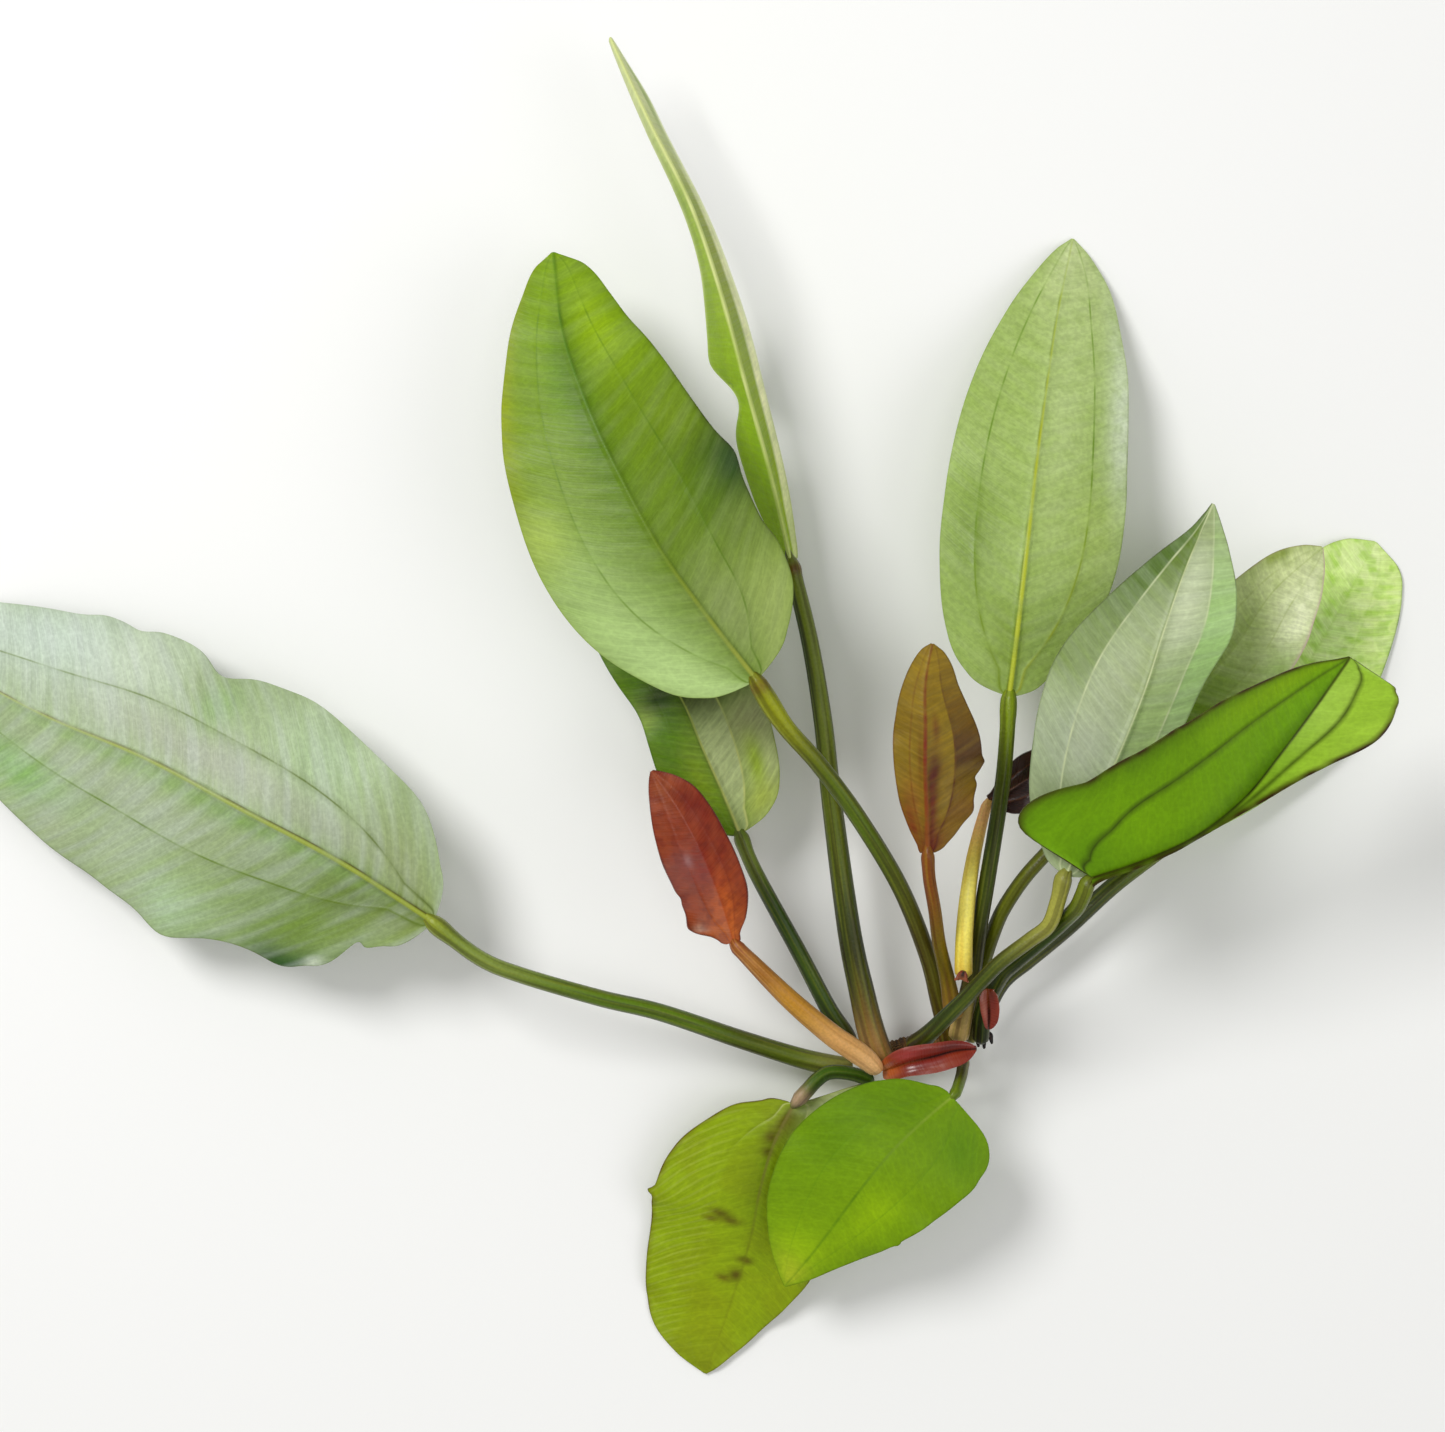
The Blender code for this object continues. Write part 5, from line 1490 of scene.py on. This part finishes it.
    leaf["lower_left"] = Blade(
        "blade_lower_left", "leaf_green", PATCHED, "#90A72A",
        ((37, -87.4, 15), (32.5, -96.5, 14), (29.5, -107, 12), (27.5, -118, 9), (24.5, -129, 5.5),
         (21, -140, 2), (17, -151, 0.4)),
        ((16.2, 19, 20.4, 19.9, 16.6, 12.2, 8, 4.4, 2),
         (7.6, 13.6, 20.7, 23.6, 22.7, 21.2, 18.6, 14.6, 7.6)), ((-26, -8, 0), (-8, -10, -2)),
        sweep=(24, 0), wave=(0.9, 3, 0.2), shown=Shown.UPPER, rib_mm=(0.6, 0.4, 0.1),
        midrib=Line(("#8E8450", "#747C24", "#848C24"), (0.8, 0.5, 0.4), (0.36, 0.3, 0.2)),
        side_veins=(Line(("#DDE0A0", "#98A438"), (0.8, -0.4, 0), (0.24, 0.16, 0.15)),
                    Line(("#D5DA94", "#98A438"), (0.6, -0.4, 0), (0.2, 0.14, 0.12))),
        rims=(Line(("#5A3B20",), (0.6, 0.6, 0.5), (0.35, 0.3, 0.3)),
              Line(("#5A2B30", "#5A3B20", "#6A5A20"), (0.8, 0.8, 0.6), (0.4, 0.4, 0.3))),
        tints=rows(
            Tint, (0.02, 0.7, 0.09, 0.6, "#C4D08C", 0.98), (0.03, 0.6, 0.012, 0.4, "#E8ECC0"),
            (0.08, 0.8, 0.008, 0.3, "#E8ECC0", 0.7), (0.3, 0.1, 0.16, 0.3, "#748E20", 0.7),
            (1, 0, 0.1, 1, "#7B8125"), (0.8, -0.2, 0.15, 0.6, "#96A624", 0.6),
            (0.06, -0.02, 0.05, 0.13, "#5E4A22", 0.9), (0.13, -0.08, 0.025, 0.12, "#5A4A18", 0.85),
            (0.18, -0.04, 0.02, 0.08, "#5A4A18"), (0.42, -0.34, 0.016, 0.1, "#5A4A18", 0.9),
            (0.44, -0.22, 0.016, 0.1, "#5A4A18", 0.9), (0.45, -0.42, 0.014, 0.08, "#665418"),
            (0.57, 0.02, 0.014, 0.1, "#5E4E18", 0.9), (0.63, -0.04, 0.024, 0.08, "#5A4A18", 0.9),
            (0.655, -0.16, 0.014, 0.08, "#665418")),
        curls=rows(Curl, (0.395, RIGHT, 0.012, 0, 1.5), (0.05, RIGHT, 0.03, 0, -0.8)))
    leaf["lower_right"] = Blade(
        "blade_lower_right", "leaf_green", FRESH, "#7A9C22",
        ((71.9, -84.6, 24), (65, -90, 26.5), (58, -96.5, 28), (52, -104, 27), (46.5, -112, 24),
         (41, -120, 20.5), (35, -128, 16)),
        ((14.5, 18.4, 18.8, 17.9, 15.2, 10.8, 6.3, 3.5, 1.4),
         (5.4, 11, 15.9, 18.8, 18.9, 16.5, 12.7, 8.1, 3.2)), ((-6, -8, -4),) * 2, sweep=(4.4, 0),
        wave=(0.7, 2.5, 0.7), shown=Shown.UPPER, rib_mm=(0.5, 0.3, 0.1), vein_mm=0.1,
        midrib=Line(("#98AE4C", "#56781A", "#60841A"), (0.6, 0.55, 0.45), (0.3, 0.3, 0.24)),
        side_veins=(Line(("#648A18",), (0.3, 0.3, 0.15), (0.25, 0.2, 0.15)),) * 2,
        rims=(Line(("#4F6A1A", "#5A5A1A"), (0.6, 0.6, 0.5), (0.3, 0.3, 0.3)),) * 2, pleat_mm=0.012,
        tints=rows(
            Tint, (0.16, -0.5, 0.14, 0.6, "#64841A"), (0.4, -0.55, 0.1, 0.3, "#6C901C", 0.7),
            (0.58, 0.4, 0.16, 0.35, "#9CC02C", 0.85), (0.86, -0.1, 0.12, 0.7, "#9CBE34", 0.85),
            (0.1, 0.6, 0.1, 0.35, "#648A18"), (0.94, 0, 0.07, 0.8, "#B4C040"),
            (0.3, -0.75, 0.25, 0.3, "#6A8C1C", 0.7)),
        curls=rows(Curl, (0.6, LEFT, 0.012, 0, 0.6)))
    return leaf


def stalks(leaf: dict[str, Blade]) -> tuple[Stalk, ...]:
    """The stalks of the leaves.

    Args:
        leaf: The blades, by the name of their leaf.

    Returns:
        The stalks.
    """
    dark, brown = "#424A16", "#553E1E"
    return (
        Stalk(
            "stalk_left", "stalk_green", GREEN_STALK, "#67802C",
            ((50.5, -79.8, 8.4), (47, -79.5, 8.6), (38.5, -77.5, 8.9), (25, -73, 11.5),
             (7, -66.5, 16), (-6.5, -63, 19), (-24, -57.5, 23), (-33, -53.5, 25),
             (-42.8, -45.9, 26)), (2.3, 1.9, 1.7), leaf["left"], 7, knee=(0.985, 0.03, 0.4),
            sheath_mm=0.2,
            bands=rows(
                Band, (0, 0.1, "#A09A5A", 0.8), (0.24, 0.12, "#4E4A1C", 0.6),
                (0.5, 0.2, "#64822E", 0.6, 0.25, 0.16), (0.86, 0.14, "#8C9C50", 0.85),
                (1.04, 0.07, "#A3AC44"))),
        Stalk(
            "stalk_upper_left", "stalk_green", GREEN_STALK, "#62682A",
            ((72.5, -74.2, 10.8), (71.7, -70.5, 11.8), (70, -64.5, 13.8), (67, -53.5, 17.5),
             (60.5, -38, 25), (51, -22.5, 33), (42, -10.5, 38.5), (34.5, -2, 42), (28.7, 7, 45)),
            (2, 1.9, 1.9), leaf["upper_left"], 6, knee=(0.95, 0.05, 0.3), sheath_mm=0.2,
            sheath_long=0.1,
            bands=rows(
                Band, (0, 0.14, "#6B4A28", 0.7), (0.24, 0.14, "#5A4E16", 0.7),
                (0.62, 0.16, "#66822A", 0.7, 0.2, 0.2), (0.93, 0.1, "#A3A92F"),
                (0.995, 0.015, "#7A5A2A", 0.6))),
        Stalk(
            "stalk_tall", "stalk_green", GREEN_STALK, "#647030",
            ((57.1, -77.9, 14.2), (55.6, -74.1, 14.6), (54.2, -69.5, 15), (52.6, -62.7, 16),
             (49.5, -48, 18), (45.5, -19, 20), (43.5, -1, 21), (40.5, 17, 21), (36.4, 33.8, 21)),
            (3.1, 2.3, 1.8), leaf["tall"], 5, knee=(0.99, 0.012, 0.25), sheath_mm=0.2,
            bands=rows(
                Band, (0, 0.12, "#C0905A", 0.97), (0.13, 0.1, "#9C744A", 0.8, 0.22, 0.05),
                (0.06, 0.14, "#3A2410", 0.9, 0.45, 0.05), (0.24, 0.16, "#3E4416", 0.85),
                (0.8, 0.2, "#8C9A48", 0.9, 0.32, 0.16), (0.86, 0.2, "#34481A", 0.8, 0.08, 0.06),
                (0.99, 0.012, "#6A4A24"))),
        Stalk(
            "stalk_upper_right", "stalk_green", GREEN_STALK, "#525C1A",
            ((74, -73.1, 15.2), (75, -67.5, 16.6), (76.7, -59.3, 19), (78, -47.5, 23.5),
             (80, -34, 27), (82.5, -16.5, 30), (83.5, -5.5, 31), (84, 3.9, 31)), (2.2, 1.8, 1.7),
            leaf["upper_right"], 6, knee=(0.97, 0.03, 0.2), sheath_mm=0.2, sheath_long=0.1,
            bands=rows(
                Band, (0, 0.13, "#D0B070", 0.97), (0.28, 0.1, "#3A340E", 0.7),
                (0.6, 0.14, "#4A5A1C", 0.6), (0.98, 0.16, "#8CA228"))),
        Stalk(
            "stalk_tucked", "stalk_green", GREEN_STALK, "#465A1C",
            ((50, -74.6, 10.2), (48.5, -71.5, 11), (45, -66, 12.6), (38.5, -53.5, 15.5),
             (28.5, -35, 18.6), (25.2, -27, 19)), (2, 1.8, 1.6), leaf["tucked"], 5,
            knee=(0.98, 0.03, 0.2), sheath_mm=0.2,
            bands=rows(Band, (0, 0.12, brown, 0.6), (0.92, 0.12, "#8A9A48", 0.7))),
        Stalk(
            "stalk_rust", "stalk_tan", TAN_STALK, "#D8A862",
            ((56, -79.3, 20.3), (52.9, -76.2, 22), (48.9, -73.2, 24), (44.8, -70.2, 25.8),
             (36, -62.5, 29), (27, -53.5, 31), (24.1, -50.5, 31)), (2.4, 2.3, 1.5), leaf["rust"],
            4, knee=(0.99, 0.02, 0.1), sheath_mm=0.2, sheath_long=0.2,
            bands=rows(
                Band, (0, 0.22, "#F8C48A", 0.95), (0.3, 0.12, "#E8B070", 0.8),
                (0.6, 0.18, "#C48E30", 0.8), (0.82, 0.12, "#9A6430", 0.8),
                (1.02, 0.12, "#8A4424")), foot_mm=9, flank_shade="#7A4420", flank_shade_share=0.6),
        Stalk(
            "stalk_olive", "stalk_olive", OLIVE_STALK, "#8A7026",
            ((73, -67.6, 20.8), (72.2, -64, 21), (71, -58, 22.2), (69, -50.5, 27),
             (67.5, -42.5, 34), (66, -35.5, 39), (65.5, -30.3, 41)), (1.9, 1.5, 1.4),
            leaf["olive"], 6, knee=(0.98, 0.03, 0.1), sheath_mm=0.4,
            bands=rows(
                Band, (0.9, 0.3, "#8C5034", 0.85), (0.35, 0.2, "#6E6A1C", 0.7),
                (0, 0.1, "#B08A48", 0.7)), flank_shade="#5A2A1C"),
        Stalk(
            "stalk_pointed", "stalk_green", GREEN_STALK, "#4E5A1E",
            ((63.2, -74.6, 17), (66.4, -71.6, 20.6), (70.2, -67.1, 26), (74.8, -62, 29.5),
             (77.3, -58.9, 31.6), (81.9, -53.8, 34.6), (87.8, -49, 37), (91.9, -45.5, 38.6),
             (93.7, -40.1, 40.5), (94.8, -35, 42)), (2.2, 1.7, 1.8), leaf["pointed"], 5,
            knee=(0.98, 0.03, 0.2), sheath_mm=0.2, sheath_long=0.1,
            bands=rows(
                Band, (0.88, 0.2, "#B4B258", 0.95), (0.26, 0.12, "#3E4A12", 0.6),
                (0, 0.12, "#4A3A18", 0.7))),
        Stalk(
            "stalk_far_right", "stalk_green", GREEN_STALK, "#6A7030",
            ((77.2, -73.8, 11), (77.8, -68.7, 11.8), (78.6, -61.8, 13), (79.7, -55.3, 16),
             (81.6, -48, 20.5), (83.8, -42.5, 23), (88, -35.8, 25.6), (93.3, -29.7, 27)),
            (1.8, 1.7, 1.6), leaf["far_right"], 6, bands=rows(Band, (0, 0.18, "#8A8450", 0.8))),
        Stalk(
            "stalk_lime", "stalk_green", GREEN_STALK, dark,
            ((80.2, -70.9, 7.4), (81.3, -66.4, 8), (84.7, -60.1, 9), (90.5, -55.2, 9.8),
             (99.3, -47.9, 10), (110, -38.2, 10), (121.7, -29.4, 10)), (2, 2, 1.8), leaf["lime"],
            6, bands=rows(Band, (0, 0.12, "#33240F", 0.85), (0.95, 0.2, "#7F9638", 0.7))),
        Stalk(
            "stalk_front_right", "stalk_green", GREEN_STALK, "#4E621C",
            ((79, -73.5, 15.6), (79.7, -65.8, 18.6), (82.7, -57.9, 25), (85.8, -54.2, 28.8),
             (89.2, -50.9, 31.6), (92.4, -47.8, 34.2), (95.6, -44.5, 36.8), (97.7, -41.5, 41.4),
             (98.9, -38.2, 44.2), (99.6, -36, 45)), (1.9, 1.8, 1.8), leaf["front_right"], 4,
            bands=rows(
                Band, (0, 0.14, "#33260F", 0.85), (0.35, 0.25, "#2E3A10", 0.8),
                (0.97, 0.12, "#7F8A38", 0.8))),
        Stalk(
            "stalk_young", "stalk_yellow", YELLOW_STALK, "#F4DC4C",
            ((74.4, -57.9, 26.8), (74.4, -53.5, 27), (74.6, -47.3, 27.2), (75.4, -39.2, 26.6),
             (77.1, -30, 24), (79.9, -20.1, 21.1)), (2, 1.75, 1.2), leaf["young"], 3,
            knee=(0.02, 0.04, 0), sheath_long=0.1,
            bands=rows(
                Band, (0, 0.1, "#DDAE44", 0.7), (0.15, 0.14, "#F0D860", 0.8, 0.3, 0.12),
                (0.42, 0.3, "#FFF47C", 0.95, 0.22, 0.2), (0.95, 0.2, "#FFC084", 0.95)),
            flank_shade="#B0882C", flank_shade_share=0.35),
        Stalk(
            "stalk_lower_left", "stalk_green", GREEN_STALK, "#4F6B24",
            ((55, -82.6, 12), (51.5, -81, 13), (47.5, -80.2, 13.8), (44.5, -80.4, 14.4),
             (42, -82, 15.2), (39.8, -84.3, 15.8), (38.2, -86, 16)), (1.6, 1.6, 1.7),
            leaf["lower_left"], 5, bands=rows(Band, (1, 0.12, "#C8A48C"))),
        Stalk(
            "stalk_lower_right", "stalk_green", GREEN_STALK, "#6A6A30",
            ((75.8, -78, 9.6), (75.2, -79.2, 13.4), (74.4, -80.9, 18), (72.7, -83.9, 23)),
            (1.4, 1.3, 1.3), leaf["lower_right"], 5,
            bands=rows(Band, (0, 0.3, "#7A5A34", 0.7), (1, 0.3, "#6F8A2C", 0.8))),
    )


@dataclass
class Crown:
    """What the leaves rise from: folded young leaves, the thick stem and remains of roots."""

    bud_base: str = "#84392C"
    edge: Line = Line(("#A8604C", "#7A3428"), (0.5, 0.6, 0.7), (0.25, 0.25, 0.2), 0.0)
    # The fold's dark middle is painted shade in the groove between the folded halves
    fold: Line = Line(("#A0603C", "#3E1610", "#3A1610"), (0.4, 0.9, 0.9), (0.3, 0.55, 0.35), 0.0)
    root_base: str = "#2A1C14"

    def buds(self) -> tuple[Blade, ...]:
        """The folded young leaves."""
        shape = dict(shown=Shown.UPPER, rib_mm=(0.3, 0.3, 0.1), vein_mm=0.12, midrib=self.fold,
                     side_veins=(NO_LINE,) * 2, rims=(self.edge,) * 2, rows_per_mm=5.0, lean=0.2,
                     thickness_mm=0.6)
        return (
            Blade(
                "young_leaf_front", "leaf_red", BUD, self.bud_base,
                ((57, -79.4, 18.2), (59.2, -78.6, 19.9), (62.5, -77.2, 21.6), (68.3, -75.7, 22),
                 (72.8, -74.5, 22), (77.6, -74.1, 21.6)),
                ((1.8, 2.9, 3.6, 3.5, 3.1, 2.6, 2.1, 1.5, 0.8),
                 (2, 2.4, 2.7, 3.2, 3.5, 3.5, 3.2, 2.3, 1.1)), ((25, 25, 25),) * 2,
                wave=(0.15, 2, 0), pleat_mm=0.025, pleat_pitch_mm=2.3, roll_mm=(0.9, 0.5),
                tints=rows(
                    Tint, (0, 0, 0.14, 1.5, "#D08048", 0.95), (0.3, 0.5, 0.12, 0.25, "#A84A48"),
                    (0.75, 0.5, 0.16, 0.4, "#5E1E16", 0.85), (0.12, -0.4, 0.1, 0.4, "#B86440"),
                    (0.35, -0.6, 0.12, 0.4, "#6E2A24"), (0.62, -0.75, 0.3, 0.2, "#8C4838", 0.7),
                    (0.8, -0.3, 0.14, 0.25, "#8E4434", 0.7)), **shape),
            Blade(
                "young_leaf_side", "leaf_red", BUD, self.bud_base,
                ((79.4, -60.3, 27.5), (79.7, -62.8, 26.8), (80, -65.8, 25.4), (80.1, -69.5, 23.6)),
                ((1.4, 2, 2.2, 2.3, 2.2, 2, 1.6, 1.1, 0.6),
                 (1.3, 1.8, 2, 1.9, 1.7, 1.4, 1.1, 0.8, 0.5)), ((25, 25, 25),) * 2,
                wave=(0.1, 2, 0), pleat_mm=0.02, pleat_pitch_mm=1.2, roll_mm=(0.4, 0.4),
                tints=rows(
                    Tint, (0, 0, 0.2, 1.5, "#8A4A2C"), (0.4, -0.6, 0.4, 0.3, "#B07060"),
                    (0.5, 0.6, 0.4, 0.3, "#7A3C2C", 0.7)), **shape),
            Blade(
                "young_leaf_tip", "leaf_red", BUD, "#8C5A44",
                ((73.5, -58, 30.9), (73.7, -57, 31.2), (74, -56, 31.4)),
                ((1.4, 1.3, 1.2, 1.1, 1, 0.9, 0.7, 0.5, 0.4),) * 2, ((20, 20, 20),) * 2,
                wave=(0.05, 2, 0), pleat_mm=0.03, pleat_pitch_mm=1, **shape),
        )

    def fibres(self) -> tuple[Stalk, ...]:
        """The thick stem and the remains of old roots."""
        stubs = (
            ("root_stub_upper", 0.3, ((81.4, -71.9, 7.4), (82, -73.2, 6.8), (82.4, -74.6, 5.6))),
            ("root_stub_middle", 0.4, ((80.2, -72.2, 6.8), (80.5, -73.8, 6.2),
                                       (80.7, -75.8, 5.2))),
            ("root_stub_lower", 0.4, ((78.8, -72, 6.8), (79, -73.6, 6.2), (79.4, -75.4, 5.2))),
        )
        return (
            Stalk("stem", "stem_brown", STEM, "#5E4228",
                  ((57.5, -78.4, 4.5), (60, -77.9, 4.4), (65, -77, 4.25), (70, -76.2, 4.25),
                   (73.5, -75.3, 4.4), (76, -74.8, 4.5)), (3, 4, 3), knee=(0.5, 0.2, 0),
                  sides=40, ridge=0.03, ring_mm=0.25, rows_per_mm=4),
            *(Stalk(node, "root_brown", ROOT, self.root_base, route, (0.6, 0.5, 0.3),
                    knee=(thickest, 0.2, 0.15), sides=16, ridge=0.1, rows_per_mm=8)
              for node, thickest, route in stubs),
        )

    def build(self) -> None:
        """Build the crown's pieces."""
        for piece in (*self.buds(), *self.fibres()):
            piece.build()


# ------------------------------------------------------------------ the stage
@dataclass(frozen=True)
class Lamp:
    """A soft round lamp above the plant: where it stands, its width in metres and its power."""

    name: str
    place: Point
    size: float
    watts: float
    colour: str = "#FFFFFF"

    def build(self) -> None:
        """Add the lamp, pointing at the plant's middle."""
        light = bpy.data.lights.new(self.name, "AREA")
        light.shape = "DISK"
        light.size = self.size
        light.energy = self.watts
        light.color = linear(self.colour)[:3]
        item = bpy.data.objects.new(self.name, light)
        bpy.context.scene.collection.objects.link(item)
        item.location = self.place
        x, y, z = self.place
        item.rotation_euler = (math.atan2(math.hypot(x, y), z), 0.0, math.atan2(x, -y))


@dataclass(frozen=True)
class Stage:
    """The floor, the light and the camera, which looks straight down on the plant."""

    # Matt white paper: the eye sees only its soft shadows
    floor_colour: str = "#F4F4F2"
    floor_size: float = 16.0
    floor_gap: float = 0.0002
    sky_colour: str = "#FBFBFA"
    sky_strength: float = 0.42
    camera_x: float = 0.02237
    camera_height: float = 0.70
    lens_mm: float = 75.86
    lamps: tuple[Lamp, ...] = (
        Lamp("key", (-0.55, 0.5, 0.95), 0.5, 9.0),
        Lamp("fill", (0.8, -0.3, 0.9), 0.9, 2.5),
        Lamp("top", (0.1, -0.1, 1.3), 0.5, 1.5),
    )

    def floor(self) -> None:
        """A plain pale floor, a hair below the plant."""
        bpy.ops.object.select_all(action="DESELECT")
        bpy.ops.mesh.primitive_plane_add(size=self.floor_size, location=(0, 0, -self.floor_gap))
        item = bpy.context.active_object
        item.name = "floor"
        bpy.ops.object.transform_apply(location=True)
        material = bpy.data.materials.new("matt paper floor")
        material.use_nodes = True
        shader = material.node_tree.nodes["Principled BSDF"]
        shader.inputs["Base Color"].default_value = linear(self.floor_colour)
        shader.inputs["Roughness"].default_value = 0.9
        item.data.materials.append(material)

    def sky(self) -> None:
        """The soft light from all round."""
        world = bpy.data.worlds.new("soft sky")
        world.use_nodes = True
        bpy.context.scene.world = world
        sky = world.node_tree.nodes["Background"]
        sky.inputs["Color"].default_value = linear(self.sky_colour)
        sky.inputs["Strength"].default_value = self.sky_strength

    def camera(self) -> None:
        """The camera, which looks straight down."""
        camera = bpy.data.cameras.new("camera")
        camera.sensor_fit = "HORIZONTAL"
        camera.sensor_width = 36.0
        camera.lens = self.lens_mm
        camera.clip_start = 0.01
        item = bpy.data.objects.new("camera", camera)
        item.location = (self.camera_x, 0.0, self.camera_height)
        bpy.context.scene.collection.objects.link(item)
        bpy.context.scene.camera = item

    def build(self) -> None:
        """Add the floor, the lamps, the sky's light and the camera."""
        self.floor()
        for lamp in self.lamps:
            lamp.build()
        self.sky()
        bpy.context.scene.view_settings.view_transform = "Standard"
        self.camera()


def main() -> None:
    """Build the plant and its stage in order."""
    leaf = blades()
    for piece in (*leaf.values(), *stalks(leaf)):
        piece.build()
    Crown().build()
    Stage().build()


if __name__ == "__main__":
    main()
